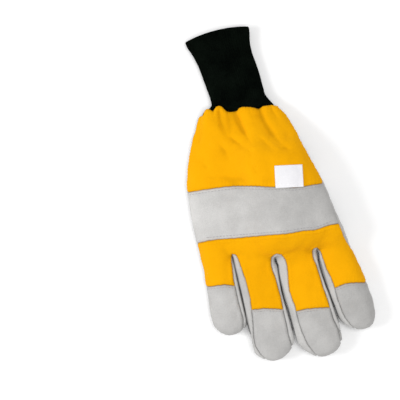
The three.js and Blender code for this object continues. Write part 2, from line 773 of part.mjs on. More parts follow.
const stripNames = ['strip_little_ring', 'strip_ring_middle', 'strip_middle_index'];
const overLowSeam = above(lowSeamHeight + halfGap);
slits.forEach((slit, i) => {
  const strip = shell.intersect(prism(grow(slit, -halfGap))).intersect(overLowSeam);
  addPiece(stripNames[i], strip, greyLeather);
});

const thumbHollow = thumbForm(coverWall).intersect(block(coverWall));
const wristEnd = [
  [-FAR / 2, sectionY(0, -FAR / 2)],
  [FAR / 2, sectionY(0, FAR / 2)],
  [FAR / 2, -FAR / 2],
  [-FAR / 2, -FAR / 2],
];
let palm = shell.intersect(prism(wristEnd));
palm = palm.subtract(prism(grow(topOutline(), halfGap)).intersect(above(seamHeight - halfGap)));
for (const slit of slits) {
  palm = palm.subtract(prism(grow(slit, halfGap)).intersect(above(lowSeamHeight - halfGap)));
}
palm = palm.subtract(thumbHollow);
addPiece('palm_leather', palm, greyLeather);

const thumb = thumbForm(0).intersect(block(0)).subtract(thumbHollow).subtract(handForm(-pieceGap));
addPiece('thumb_leather', thumb, greyLeather);

addPiece('knit_cuff', cuffForm(), blackKnit);
addPiece('size_tag', tagForm(), whiteCloth);

// The origin is the middle of the glove's box, on the surface that it lies on.
const box = new THREE.Box3().setFromObject(glove);
const middle = box.getCenter(new THREE.Vector3());
glove.position.set(-middle.x, -middle.y, -box.min.z);

export default glove;
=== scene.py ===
# %% [markdown]
# A work glove for chainsaw use, lying palm down
#
# The real glove is sewn from soft flat pieces: grey split leather for the palm, the fingertips and a band
# over the knuckles, yellow cloth for the back, and a black ribbed cuff. All of it is filled by air and
# lining, so every piece bulges between its seams and dips at them. This lesson makes one smooth hand form
# first, cuts it along the seams into its pieces, and then gives each piece its edge, its folds, its
# stitches and its finish.

import math

import bmesh
import bpy
import numpy as np
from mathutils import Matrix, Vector, noise
from mathutils.bvhtree import BVHTree
from mathutils.kdtree import KDTree


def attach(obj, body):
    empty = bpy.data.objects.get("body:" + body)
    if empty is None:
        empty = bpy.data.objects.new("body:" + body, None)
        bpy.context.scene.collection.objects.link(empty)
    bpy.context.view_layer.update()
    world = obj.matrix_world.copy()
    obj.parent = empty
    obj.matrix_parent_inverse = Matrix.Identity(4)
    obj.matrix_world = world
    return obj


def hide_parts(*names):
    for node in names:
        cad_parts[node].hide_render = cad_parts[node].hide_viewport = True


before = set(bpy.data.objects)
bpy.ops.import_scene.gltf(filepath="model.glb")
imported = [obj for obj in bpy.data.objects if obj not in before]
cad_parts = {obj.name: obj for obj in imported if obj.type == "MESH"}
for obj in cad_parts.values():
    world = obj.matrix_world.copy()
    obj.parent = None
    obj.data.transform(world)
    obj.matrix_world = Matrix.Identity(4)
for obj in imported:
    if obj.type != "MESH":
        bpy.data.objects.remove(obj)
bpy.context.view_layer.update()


def into_scene(name, data):
    """Adds an object with this data to the scene."""
    item = bpy.data.objects.new(name, data)
    bpy.context.scene.collection.objects.link(item)
    return item


# %% [markdown]
# The camera
#
# The glove was seen from straight above and turned a little. A long lens from one and a half metres keeps
# the same flat look. The camera stands first, so everything after it can be judged through it.

# %% Camera straight above the glove
VIEW_WIDTH = 0.36  # metres seen across the picture
VIEW_TURN = -14.0  # degrees between the glove and the picture's upright
VIEW_HEIGHT = 1.5

lens_data = bpy.data.cameras.new("camera")
lens_data.sensor_width = 36.0
lens_data.lens = 36.0 * VIEW_HEIGHT / VIEW_WIDTH
camera = into_scene("camera", lens_data)
camera.location = (-0.0569, 0.0093, VIEW_HEIGHT + 0.015)
camera.rotation_euler = (0.0, 0.0, math.radians(VIEW_TURN))
bpy.context.scene.camera = camera
bpy.context.scene.view_settings.view_transform = "Standard"  # keeps the cloth's full yellow
print("lens, mm:", lens_data.lens)

# %% [markdown]
# The glove's own measures
#
# A sewn glove is easiest to measure from the middle of its wrist: X towards the thumb's side, Y towards the
# cuff, in millimetres. All sizes here are in that plane, and one small step at the end moves them to the
# shared frame.

# %% Millimetres to the shared frame
TO_FRAME = np.array([-3.84, -8.557, 0.0])  # from the glove's own zero to the frame's, in millimetres


def in_frame(points):
    return (np.asarray(points, float) + TO_FRAME) / 1000.0


def smooth(low, high, value):
    share = np.clip((value - low) / (high - low), 0.0, 1.0)
    return share * share * (3.0 - 2.0 * share)


def read(rows, at):
    """Reads a table of (place, value) pairs at any place."""
    table = sorted(rows)
    return np.interp(at, [row[0] for row in table], [row[1] for row in table])


print("frame zero on the glove, mm:", (-TO_FRAME[:2]).tolist())

# %% [markdown]
# The hand form
#
# A glove that lies flat is an oval in section: wide, a little boxy, and flat where it touches the table. So
# the hand part is a row of oval sections from the wrist to the knuckles, and each finger is a row of
# smaller ones. Where the folded thumb lies under the palm, the sections are lifted.

# %% Sizes of the hand part
WRIST_Y = 88.0
BODY_LENGTH = 138.0
GATHER_WIDTH = 72.0
LITTLE_SIDE_X = -66.0
PALM_RISE = 16.0
SEAM_HEIGHT = 9.5
LOW_SEAM = 4.5
SINK = 0.8
THUMB_FOLD = (51.5, 11.0)
THUMB_WIDTH = 34.0
THUMB_THICKNESS = 13.6
THUMB_REACH = 64.0
THUMB_TURN = math.radians(14.0)
SLIT = 1.2
WRIST_SLANT, KNUCKLE_SLANT = 0.1, 0.167  # how the sections lean across the hand
KNUCKLE_BOW = 12.5
FINGER_RISE = 11.5
ROOT_REACH = 34.0  # how far a finger's root runs into the hand part
ROOT_SHARE = 0.72  # size of its end there
SLIT_ROOM = 0.75  # taken from each side of a finger near its root, for the slit
TIP_REACH = 30.0  # length of the tip, which has closer sections
THUMB_GAP = 0.3  # between the folded thumb and the palm
LIFT_PAST_TIP = (-12, 18)  # millimetres from the thumb's tip where the lift starts and is full
LIFT_TO_WRIST = (0.68, 2)  # thumb widths from the fold where the lift starts to fade and is gone
LIFT_TO_FINGERS = (2.15, 1.15)  # the other way: where it is gone, and where it is full

# along: share from the wrist to the knuckles; then how far each edge has widened, and the height of the back
BODY_ROWS = [
    (-0.1, -0.1, -0.12, 0.53), (0.0, 0.0, 0.0, 0.6), (0.06, 0.13, 0.11, 0.68), (0.13, 0.28, 0.22, 0.78),
    (0.2, 0.43, 0.31, 0.87), (0.275, 0.57, 0.39, 0.94), (0.355, 0.7, 0.48, 0.98), (0.435, 0.8, 0.56, 1.0),
    (0.515, 0.86, 0.63, 1.0), (0.594, 0.9, 0.69, 0.99), (0.69, 0.94, 0.76, 0.97), (0.783, 0.97, 0.83, 0.93),
    (0.87, 0.99, 0.88, 0.9), (0.93, 1.0, 0.94, 0.83), (0.96, 1.0, 0.96, 0.74), (0.985, 1.0, 0.985, 0.52),
    (1.0, 1.0, 1.0, 0.16),
]

# name, width, length, share of the width at the knuckles, sideways lean, share of the root that is full size
FINGERS = [
    ("little", 31.0, 57.5, 0.9, -0.03, 0.8),
    ("ring", 37.4, 89.0, 0.96, -0.015, 0.2),
    ("middle", 38.4, 96.5, 0.975, 0.045, 0.1),
    ("index", 33.6, 81.0, 0.87, 0.11, 0.05),
]
KNUCKLE_Y = WRIST_Y - BODY_LENGTH
KNUCKLE_WIDTH = sum(f[1] * f[3] for f in FINGERS) + 3 * SLIT
THUMB_SIDE_X = LITTLE_SIDE_X + KNUCKLE_WIDTH
print("width over the knuckles, mm:", round(KNUCKLE_WIDTH, 1))


# %% Lift over the thumb, and sections of the hand part
def thumb_lift(x, y):
    tip_x = THUMB_FOLD[0] - THUMB_REACH
    over = smooth(*(tip_x + past for past in LIFT_PAST_TIP), x)
    wrist_end = 1 - smooth(*(THUMB_FOLD[1] + THUMB_WIDTH * widths for widths in LIFT_TO_WRIST), y)
    finger_end = smooth(*(THUMB_FOLD[1] - THUMB_WIDTH * widths for widths in LIFT_TO_FINGERS), y)
    return (THUMB_THICKNESS + SINK + THUMB_GAP) * over * wrist_end * finger_end


def section_y(along, x):
    from_middle = (x - (LITTLE_SIDE_X + THUMB_SIDE_X) / 2) / (KNUCKLE_WIDTH / 2)
    slant = WRIST_SLANT + (KNUCKLE_SLANT - WRIST_SLANT) * along
    bow = KNUCKLE_BOW * np.clip(along, 0, 1) ** 2
    return WRIST_Y - BODY_LENGTH * along - slant * x + bow * from_middle**2


def oval(count, half, rise, depth, top=2.5, under=3.4):
    """Points round an oval. Top and under say how boxy its two halves are."""
    angle = np.arange(count) * 2 * math.pi / count
    c, s = np.cos(angle), np.sin(angle)
    power = np.where(s >= 0, 2 / top, 2 / under)
    u = np.sign(c) * np.abs(c) ** power * half
    v = np.sign(s) * np.abs(s) ** power * np.where(s >= 0, rise, depth)
    return u, v


def body_ring(along, inset=0.0, count=96):
    rows = np.array(BODY_ROWS)
    little_share, thumb_share, rise_share = (np.interp(along, rows[:, 0], rows[:, k]) for k in (1, 2, 3))
    half = GATHER_WIDTH / 2
    left = -half + (LITTLE_SIDE_X + half) * little_share + inset
    right = half + (THUMB_SIDE_X - half) * thumb_share - inset
    rise = rise_share * PALM_RISE
    squeeze = min(1.0, rise / (0.8 * PALM_RISE)) if along > 0.9 else 1.0
    depth = max((SEAM_HEIGHT + SINK) * squeeze - inset, 0.5)
    u, v = oval(count, (right - left) / 2, max(rise - inset, 0.5), depth)
    x = (left + right) / 2 + u
    y = section_y(along, x)
    return np.stack([x, y, SEAM_HEIGHT + v + thumb_lift(x, y)], 1)


print("lift over the thumb, mm:", round(float(thumb_lift(30.0, 5.0)), 1))


# %% Sections of a finger
def tip_closing(left, roundness, least):
    """Share of the full size, where left is the share of a round tip that is still ahead."""
    return max((1 - (1 - left) ** roundness) ** (1 / roundness), least)


def finger_ring(index, below, count=48):
    _, width, length, root_share, lean, bare = FINGERS[index]
    start = LITTLE_SIDE_X + sum(f[1] * f[3] + SLIT for f in FINGERS[:index])
    round_end = 0.8 * width
    left = np.clip((length - below) / round_end, 0, 1)
    closing = tip_closing(left, 2.25, 0.02)
    widening = root_share + (1 - root_share) * smooth(0, 0.55, below / length)
    rooting = 1 + (ROOT_SHARE - 1) * smooth(bare, 1, -below / ROOT_REACH)
    slit_room = SLIT_ROOM * (1 - smooth(0, 34, below)) * (1 - smooth(4, 20, -below))
    half = max(width / 2 * widening * closing * rooting - slit_room, 0.4)
    rise = max(FINGER_RISE * rooting * closing**0.8, 0.3)
    depth = max((SEAM_HEIGHT + SINK) * rooting * closing**0.7, 0.3)
    u, v = oval(count, half, rise, depth, 2.35, 3.2)
    middle = start + width * root_share / 2 + lean * below
    x = middle + u
    y = np.full(count, KNUCKLE_Y - below)
    return np.stack([x, y, SEAM_HEIGHT + v + thumb_lift(x, y)], 1)


def ring_quads(rings, count, closed=False):
    """Quads between rings of as many points each, and from the last to the first where they are closed."""
    quads = []
    for r in range(rings if closed else rings - 1):
        near, far = r * count, (r + 1) % rings * count
        quads += [[near + i, near + (i + 1) % count, far + (i + 1) % count, far + i] for i in range(count)]
    return quads


def loft(rings):
    """Joins equal rings with quads and closes both ends."""
    count = len(rings[0])
    ends = [[len(rings) * count - count + i for i in range(count)], list(range(count))[::-1]]
    return np.concatenate(rings), ends + ring_quads(len(rings), count)


finger_reach = [f[2] for f in FINGERS]
print("finger lengths, mm:", finger_reach)

# %% [markdown]
# One skin
#
# The hand part and the four fingers overlap. A voxel remesh walks round the outside of them all and gives
# one even skin, with the webs between the fingers closed. Smoothing a few times rounds those webs as
# stretched leather does.


# %% Voxel remesh of all sections
VOXEL = 1.0


def joined_skin(voxel):
    """Points and triangles of one skin round the hand part and the fingers."""
    build = bmesh.new()
    places = np.concatenate([np.linspace(-0.1, 0.93, 60), np.linspace(0.94, 1.0, 14)])
    forms = [loft([body_ring(along) for along in places])]
    for index, reach in enumerate(finger_reach):
        tip = TIP_REACH * np.linspace(0.97, 0.0, 26) ** 1.6
        places = np.concatenate([np.linspace(-ROOT_REACH, reach - TIP_REACH, 30), reach - tip])
        forms.append(loft([finger_ring(index, below) for below in places]))
    for points, faces in forms:
        corners = [build.verts.new(p) for p in points]
        for face in faces:
            build.faces.new([corners[i] for i in face])
    bmesh.ops.recalc_face_normals(build, faces=build.faces)
    mesh = bpy.data.meshes.new("skin_start")
    build.to_mesh(mesh)
    build.free()
    start = into_scene("skin_start", mesh)
    remesh = start.modifiers.new("voxels", "REMESH")
    remesh.mode = "VOXEL"
    remesh.voxel_size = voxel
    shell = start.evaluated_get(bpy.context.evaluated_depsgraph_get()).to_mesh()
    shell.calc_loop_triangles()
    points = np.empty(len(shell.vertices) * 3)
    shell.vertices.foreach_get("co", points)
    triangles = np.empty(len(shell.loop_triangles) * 3, int)
    shell.loop_triangles.foreach_get("vertices", triangles)
    bpy.data.objects.remove(start)
    return points.reshape(-1, 3), triangles.reshape(-1, 3)


def edges_of(triangles):
    pairs = np.concatenate([triangles[:, [0, 1]], triangles[:, [1, 2]], triangles[:, [2, 0]]])
    return np.sort(pairs, 1)


def relax(points, triangles, rounds, share=0.5):
    """Moves every point towards the mean of its neighbours."""
    pairs = np.unique(edges_of(triangles), axis=0)
    both = np.concatenate([pairs, pairs[:, ::-1]])
    count = np.bincount(both[:, 0], minlength=len(points))[:, None]
    for _ in range(rounds):
        mean = np.stack([np.bincount(both[:, 0], points[both[:, 1], k], len(points)) for k in range(3)], 1)
        points = points + share * (mean / np.maximum(count, 1) - points)
    return points


def normals_of(points, triangles):
    a, b, c = (points[triangles[:, k]] for k in range(3))
    face = np.cross(b - a, c - a)
    out = np.zeros_like(points)
    for k in range(3):
        for axis in range(3):
            out[:, axis] += np.bincount(triangles[:, k], face[:, axis], len(points))
    return out / np.maximum(np.linalg.norm(out, axis=1), 1e-9)[:, None]


skin, skin_faces = joined_skin(VOXEL)
skin = relax(skin, skin_faces, 14)  # enough rounds to lose the voxels' steps
print("skin points:", len(skin))

# %% [markdown]
# Fingers that touch
#
# The fingers of the real glove lie against each other, with only a dark line between them. The remesh needs
# a wider gap than that, so the gaps are drawn shut afterwards: each side of a finger moves towards the line
# between them.

# %% Closing the gaps
# path of the line between two fingers, and how far each side is drawn to it
GAP_LINES = [
    ([(-37.2, -41), (-37.5, -60), (-38.0, -80), (-38.3, -96), (-38.6, -110)], 1.3),
    ([(-0.3, -52), (0.6, -56), (-0.2, -62), (-1.0, -70), (-1.6, -80), (-1.4, -90), (-0.8, -98), (0.4, -130)],
     1.4),
    ([(37.9, -54), (37.0, -60), (36.8, -66), (37.5, -75), (38.4, -85), (39.4, -93), (42, -118)], 1.3),
]
NARROWEST = 0.35  # half of the gap that stays open


def close_gaps(points):
    moved = points.copy()
    for path, strength in GAP_LINES:
        path = np.array(path)
        middle = np.interp(-points[:, 1], -path[:, 1], path[:, 0])
        off = points[:, 0] - middle
        reach = np.abs(off)
        pull = strength * np.exp(-((off / 8.0) ** 2)) * smooth(path[0, 1] + 3, path[0, 1] - 8, points[:, 1])
        # the turned-down leather meets closest at the top
        pull *= 1 + 2.6 * smooth(7.0, 13.0, points[:, 2] - thumb_lift(points[:, 0], points[:, 1]))
        closed = np.maximum(reach - pull, np.minimum(reach, NARROWEST))
        moved[:, 0] -= np.sign(off) * (reach - closed)
    return moved


skin = close_gaps(skin)
print("gap lines:", len(GAP_LINES))

# %% [markdown]
# Folds
#
# The cloth is gathered at the wrist, so folds run from the hem and open out over the back. Each fold here
# is a short path with a width on its two sides and a depth. Small creases at the finger roots and a slow
# unevenness over all of it keep the form from looking blown from glass.


# %% Distance from a path drawn on the glove
def path_distance(points, path):
    """Signed distance from a path seen from above, and the share of the path that the nearest point is at."""
    path = np.array(path, float)
    lengths = np.linalg.norm(np.diff(path, axis=0), axis=1)
    done = np.concatenate([[0], np.cumsum(lengths)]) / lengths.sum()
    best = np.full(len(points), 1e9)
    side, share = np.ones(len(points)), np.zeros(len(points))
    for k, (a, b) in enumerate(zip(path[:-1], path[1:])):
        run = b - a
        t = np.clip((points[:, :2] - a) @ run / (run @ run), 0, 1)
        off = points[:, :2] - (a + t[:, None] * run)
        gap = np.hypot(off[:, 0], off[:, 1])
        nearer = gap < best
        best[nearer] = gap[nearer]
        side[nearer] = np.sign(run[0] * off[nearer, 1] - run[1] * off[nearer, 0])
        share[nearer] = done[k] + t[nearer] * (done[k + 1] - done[k])
    return best * side, share


# path from the hem downwards, width to its left and right, depth (negative is a ridge), and the share of its
# length where it starts to fade out
FOLDS = [
    ([(-10, 100), (-10.5, 84), (-12.5, 66), (-17, 44)], 5.5, 6.5, 4.2, 0.3),
    ([(-3.2, 92), (-2.6, 85), (-0.8, 73), (1.4, 63), (5, 50)], 1.3, 4.5, 3.4, 0.4),
    ([(-18, 92), (-18.8, 84), (-18.4, 78), (-16.5, 70), (-14, 62)], 2.8, 1.2, 1.7, 0.4),
    ([(18, 90), (20, 74), (24, 61), (31, 46), (36, 36)], 3.0, 5.0, 2.8, 0.45),
    ([(-35, 96), (-40, 76), (-47, 60), (-53, 44)], 4.0, 3.5, 2.4, 0.5),
    ([(-22.5, 99), (-22, 88), (-21.5, 78)], 1.6, 2.2, 1.7, 0.2),
    ([(9, 94), (9.5, 84), (11, 72)], 2.0, 2.0, 1.2, 0.2),
    ([(29, 90), (31, 78), (36, 62)], 2.2, 2.6, 1.6, 0.2),
    ([(-16.7, 70), (-12, 64), (-7.5, 59), (-1.4, 48)], 1.4, 2.6, 2.0, 0.45),
    ([(-2.3, 59), (0.4, 46), (4.2, 34)], 1.4, 2.4, 1.2, 0.3),
    ([(-26, 66), (-21.6, 56), (-21.4, 51), (-24, 44)], 1.5, 2.4, 1.7, 0.4),
    ([(25, 47), (32.6, 45), (41, 38.5)], 1.4, 2.2, 1.1, 0.4),
    ([(40, 64), (37, 55), (36, 48)], 2.0, 2.6, 1.0, 0.4),
    ([(10.8, 63.5), (16, 53.5), (25, 40)], 1.5, 2.6, 1.6, 0.4),
    ([(-44, 52), (-40, 43), (-41, 33)], 1.8, 2.8, 0.9, 0.3),
    ([(-1, 45), (-0.8, 35.5), (1, 29.5), (10, 23)], 1.3, 2.4, 1.3, 0.5),
    ([(-55, 38.5), (-40, 35), (-28, 32), (-14, 26.5), (-4, 21.5)], 1.5, 2.4, 0.9, 0.75),
    ([(8, 98), (8, 84), (9, 66), (10, 52)], 5.5, 6.0, -1.4, 0.3),
    ([(-29, 100), (-31, 84), (-35, 66)], 4.5, 4.5, -1.2, 0.3),
    ([(-1, 22), (-0.8, 12), (0.5, 2)], 1.6, 2.2, 1.0, 0.3),
    ([(-52, 24), (-50, 14), (-51, 4)], 1.6, 2.0, 0.7, 0.3),
    ([(-30, -24), (-28, -14), (-29, -6)], 1.6, 2.2, 0.6, 0.3),
    ([(32, -30), (31, -20), (33, -12)], 1.6, 2.2, 0.6, 0.3),
    ([(-36.5, -40), (-36.6, -36), (-37, -29)], 2.5, 2.5, 0.6, 0.3),
    ([(1.5, -49), (1.2, -44), (0.5, -36)], 3.0, 3.0, 0.6, 0.3),
    ([(37, -52), (37, -47), (37, -39)], 2.5, 2.5, 0.6, 0.3),
    ([(-33, -41), (-27, -37), (-20, -36)], 1.4, 2.2, 0.35, 0.3),
    ([(-5, -49), (-10, -44), (-17, -42)], 1.4, 2.2, 0.35, 0.3),
    ([(9, -52), (14, -48), (21, -46)], 1.4, 2.2, 0.35, 0.3),
    ([(33, -54), (28, -50), (22, -48)], 1.4, 2.2, 0.3, 0.3),
    ([(41, -55), (46, -50), (53, -47)], 1.4, 2.2, 0.5, 0.3),
    ([(39, -50), (43, -44), (46, -38)], 1.2, 1.8, 0.5, 0.3),
    ([(-42, -72), (-46, -78), (-47, -86)], 1.3, 1.8, 0.8, 0.3),
    ([(-43, -84), (-47, -92), (-46, -100)], 1.2, 1.8, 0.8, 0.3),
    ([(58, -90), (61, -98), (60, -107)], 1.4, 2.2, 0.6, 0.3),
    ([(-14, -96), (-11, -104), (-12, -112)], 1.4, 2.2, 0.5, 0.3),
]
HEM_FOLDS_START = 80  # folds that start above this run down from the hem
FOLD_SPREAD = 0.7  # how much wider a fold is at its end
SOFT_WIDENING = 1.35  # a crease on the open cloth is this much wider
SOFT_START = (-0.05, 0.4)  # shares of its length over which it comes in


def fold_height(points, facing_up):
    height = np.zeros(len(points))
    for path, left, right, depth, fade in FOLDS:
        gap, share = path_distance(points, path)
        width = np.where(gap > 0, left, right) * (1 + FOLD_SPREAD * share)
        strength = 1 - smooth(fade, 1.0, share)
        if path[0][1] < HEM_FOLDS_START:
            width = width * SOFT_WIDENING
            strength = strength * smooth(*SOFT_START, share)
        height -= depth * strength * np.exp(-(np.abs(gap / width) ** 1.5))
    return height * smooth(0.05, 0.55, facing_up)


# %% Unevenness and the folded skin
def slow_noise(points, size, seed):
    return np.array([noise.noise(Vector(p) / size + Vector((seed, 0, 0))) for p in points])


skin_normals = normals_of(skin, skin_faces)
unevenness = 1.3 * slow_noise(skin, 21.0, 3.0) + 0.5 * slow_noise(skin, 8.0, 11.0)  # broad and finer swells
lying = smooth(0.0, 5.0, skin[:, 2])
skin = skin + skin_normals * ((fold_height(skin, skin_normals[:, 2]) + unevenness) * lying)[:, None]
skin = relax(skin, skin_faces, 1)
skin[:, 2] = np.maximum(skin[:, 2], 0.05)
skin_normals = normals_of(skin, skin_faces)
# how deep each point lies below a much smoother skin, in millimetres
hollow = np.sum((relax(skin, skin_faces, 60) - skin) * skin_normals, axis=1)
print("skin height, mm:", round(float(skin[:, 2].max()), 1))

# %% [markdown]
# Cutting along the seams
#
# A seam is drawn as a line seen from above. For every point of the skin, a number says how far it is on one
# side of that line, and a triangle that the zero of this number crosses is split there. That gives clean
# edges that follow the seam and not the triangles.


# %% Splitting a surface where a number is zero
def clip(shape, value):
    """Keeps the part of a surface where the value is above zero.

    A surface is its points, each with its normal and its depth in a crease, and its faces.
    """
    points, faces = shape
    side = value > 0
    count = side[faces].sum(1)
    cut = faces[(count == 1) | (count == 2)]
    single = side[cut].sum(1) == 1
    turn = (side[cut] == single[:, None]).argmax(1)
    a, b, c = (cut[np.arange(len(cut)), (turn + k) % 3] for k in range(3))
    pairs = np.sort(np.concatenate([np.stack([a, b], 1), np.stack([a, c], 1)]), 1)
    unique, index = np.unique(pairs, axis=0, return_inverse=True)
    first, second = value[unique[:, 0]], value[unique[:, 1]]
    t = (first / (first - second))[:, None]
    new = points[unique[:, 0]] * (1 - t) + points[unique[:, 1]] * t
    ab, ac = len(points) + index.reshape(2, -1)
    parts = [faces[count == 3], np.stack([a, ab, ac], 1)[single]]
    parts += [np.stack([ab, b, c], 1)[~single], np.stack([ab, c, ac], 1)[~single]]
    kept = np.concatenate(parts)
    used, packed = np.unique(kept, return_inverse=True)
    return np.concatenate([points, new])[used], packed.reshape(-1, 3)


def inside_distance(points, outline):
    """Distance to an outline seen from above, positive inside it."""
    outline = np.array(outline, float)
    x, y = points[:, 0], points[:, 1]
    inside = np.zeros(len(points), bool)
    best = np.full(len(points), 1e9)
    for a, b in zip(outline, np.roll(outline, -1, axis=0)):
        run = b - a
        t = np.clip(((x - a[0]) * run[0] + (y - a[1]) * run[1]) / (run @ run), 0, 1)
        best = np.minimum(best, np.hypot(x - a[0] - t * run[0], y - a[1] - t * run[1]))
        crosses = (a[1] > y) != (b[1] > y)
        with np.errstate(divide="ignore", invalid="ignore"):
            inside ^= crosses & (x < a[0] + (y - a[1]) * run[0] / run[1])
    return np.where(inside, best, -best)


whole = np.hstack([skin, skin_normals, hollow[:, None]]), skin_faces
print("numbers kept for each point:", whole[0].shape[1])

# %% Seam lines, as seen from above
HEM = [(-60, 91), (-36, 91), (-32.5, 91.5), (-30.5, 94.5), (-28, 95.8), (-25.5, 95.6), (-23.5, 94),
       (-22.4, 92.5), (-21, 94), (-18.5, 95.8), (-15.6, 96), (-13, 94.5), (-11.2, 91), (-9.5, 88.8),
       (-6.6, 87.9), (-3.5, 87.6), (-1.6, 87.8), (0, 89.3), (4.2, 89.9), (10, 88.5), (15, 86.6), (18, 84.9),
       (19.5, 85), (22, 86.2), (30, 85.6), (36, 84), (60, 81.5)]
BAND_TOP = [(-80, 29), (-60, 27), (-45, 25.5), (-30, 24), (-20, 22.5), (0, 17), (16, 12.5), (30, 8.5),
            (42, 7), (57, 6), (80, 5)]
BAND_FOOT = [(-80, -20), (-55, -19), (-45, -20.5), (-30, -23), (0, -27.5), (15, -30), (30, -31), (40, -33),
             (46, -32.5), (55, -31.5), (62.5, -32.5), (80, -35)]
# place along Y, and X of the palm leather's edge on the thumb's side
SIDE_EDGE = [(12, 66), (8, 59.5), (6, 57.4), (-12, 60), (-31, 62.3), (-45, 64.3), (-58, 68.6), (-64, 76)]
# outline of the strip in each slit: down its one side, round the fingertip, and up the other
SLITS = {
    "little_ring": [
        (-37, -36.8), (-38.6, -43), (-39.6, -50), (-41, -60), (-41.5, -80), (-41, -95), (-43, -104),
        (-45, -110), (-45, -124), (-36, -137), (-29.5, -137), (-34, -130.5), (-36.8, -122), (-36.4, -114),
        (-33.6, -100), (-32, -88), (-31, -80), (-31, -60), (-32, -50), (-33, -41.5), (-34.4, -37.8)],
    "ring_middle": [
        (-3.2, -47.6), (-5, -55), (-5, -60), (-4, -65), (-3.5, -85), (-4.5, -100), (-4.5, -110), (-5, -120),
        (-4, -134), (8, -146), (16, -145), (12.6, -140), (9.3, -132), (7, -120), (6, -110), (6.5, -95),
        (5.5, -88), (5, -80), (6, -72), (7.5, -65), (8.5, -58), (8, -53), (5.6, -47.6), (1.2, -45.6)],
    "middle_index": [
        (34, -51), (33.2, -57), (34.5, -65), (35, -75), (35.5, -85), (36.5, -95), (37, -103), (37.5, -115),
        (40, -126), (50, -135), (58.5, -133), (55, -129), (51, -124.5), (47.8, -117), (46.3, -110),
        (45.2, -100), (45, -88), (44, -78), (42, -70), (41, -60), (40.2, -53), (38.4, -49.6), (36, -49)],
}
CAP_SEAMS = {
    "little": [(-75, -58.5), (-65, -59.5), (-50, -61), (-41, -64.5), (-34, -67)],
    "ring": [(-40, -88), (-31.5, -89), (-20, -90.5), (-10, -93.5), (-4.5, -95.5), (2, -97)],
    "middle": [(-2, -100), (6.5, -100), (15, -100), (25, -101.5), (37, -104), (42, -105)],
    "index": [(40, -89), (45, -88), (55, -86.5), (65, -88), (75, -90.5), (80, -92)],
}
FINGER_SIDES = [(-90, -37.5), (-37.5, 0.5), (0.5, 39.5), (39.5, 90)]  # X between which each finger lies
print("seam lines:", 3 + len(SLITS) + len(CAP_SEAMS))


# %% The panels cut from the skin
def above(height):
    """Measures how far points lie above a height, which is lifted over the thumb."""
    return lambda p: p[:, 2] - height - thumb_lift(p[:, 0], p[:, 1])


def past(line):
    """Measures how far points lie towards the cuff from a line across the glove."""
    return lambda p: p[:, 1] - read(line, p[:, 0])


def short_of(line):
    return lambda p: read(line, p[:, 0]) - p[:, 1]


def in_side(p):
    return read([(y, x) for y, x in SIDE_EDGE], p[:, 1]) - p[:, 0]


def below_wrist(p):
    return section_y(0.0, p[:, 0]) - 0.6 - p[:, 1]


def part(shape, *measures):
    """Splits a surface into the part where every measure is positive, and the rest."""
    value = np.min([measure(shape[0]) for measure in measures], axis=0)
    return clip(shape, value), clip(shape, -value)


def cut_panels(shape):
    """Splits the skin into the glove's sewn panels."""
    panels = {}
    for name, outline in SLITS.items():
        in_strip = lambda p: inside_distance(p, outline)
        panels["strip_" + name], shape = part(shape, in_strip, above(LOW_SEAM))
    top, rest = part(shape, above(SEAM_HEIGHT), in_side)
    panels["palm_leather"], _ = part(rest, below_wrist)
    top, _ = part(top, short_of(HEM))
    panels["back_upper"], top = part(top, past(BAND_TOP))
    panels["knuckle_band"], top = part(top, past(BAND_FOOT))
    for (name, seam), (low, high) in zip(CAP_SEAMS.items(), FINGER_SIDES):
        on_finger = lambda p: np.minimum(p[:, 0] - low, high - p[:, 0])
        panels[name + "_cap"], top = part(top, on_finger, short_of(seam))
    panels["back_lower"] = top
    return panels


panels = cut_panels(whole)
print("panels:", {name: len(form[1]) for name, form in panels.items()})

# %% [markdown]
# Edges that are sewn
#
# A panel's edge is turned in and pulled down by the thread, and just beside it the cloth or leather puffs
# up. Each point's distance to the panel's own edge tells how deep it lies. Between two stitches the edge
# lifts a little, so the seam puckers.


# %% Seam grooves and puckers
def edge_gap(points, faces):
    """Distance of every point to the panel's own edge."""
    pairs = edges_of(faces)
    unique, count = np.unique(pairs, axis=0, return_counts=True)
    rim = np.unique(unique[count == 1])
    tree = KDTree(len(rim))
    for k, at in enumerate(rim):
        tree.insert(points[at, :3], k)
    tree.balance()
    return np.array([tree.find(p[:3])[2] for p in points])


def sew_down(form, groove, puff, reach, pucker):
    """Shapes a panel beside its seams, and returns it with the marks from which its finish paints shade at
    the seams and in the creases.
    """
    points, faces = form
    gap = edge_gap(points, faces)
    x, y = points[:, 0], points[:, 1]
    ripple = np.sin(x * 1.15 + y * 0.9) * np.sin(y * 1.3 - x * 0.7)
    height = -groove * np.exp(-((gap / (0.32 * reach)) ** 2))
    height += puff * np.exp(-(((gap - reach) / (0.75 * reach)) ** 2))
    height += pucker * ripple * np.exp(-(((gap - 0.8 * reach) / (1.3 * reach)) ** 2))
    moved = points[:, :3] + points[:, 3:6] * (height * smooth(0.3, 3.0, points[:, 2]))[:, None]
    moved[:, 2] = np.maximum(moved[:, 2], 0.05)
    return moved, faces, {"seam_gap": gap, "crease": points[:, 6]}


STRIPS = ["strip_" + name for name in SLITS]
CAPS = [name + "_cap" for name in CAP_SEAMS]
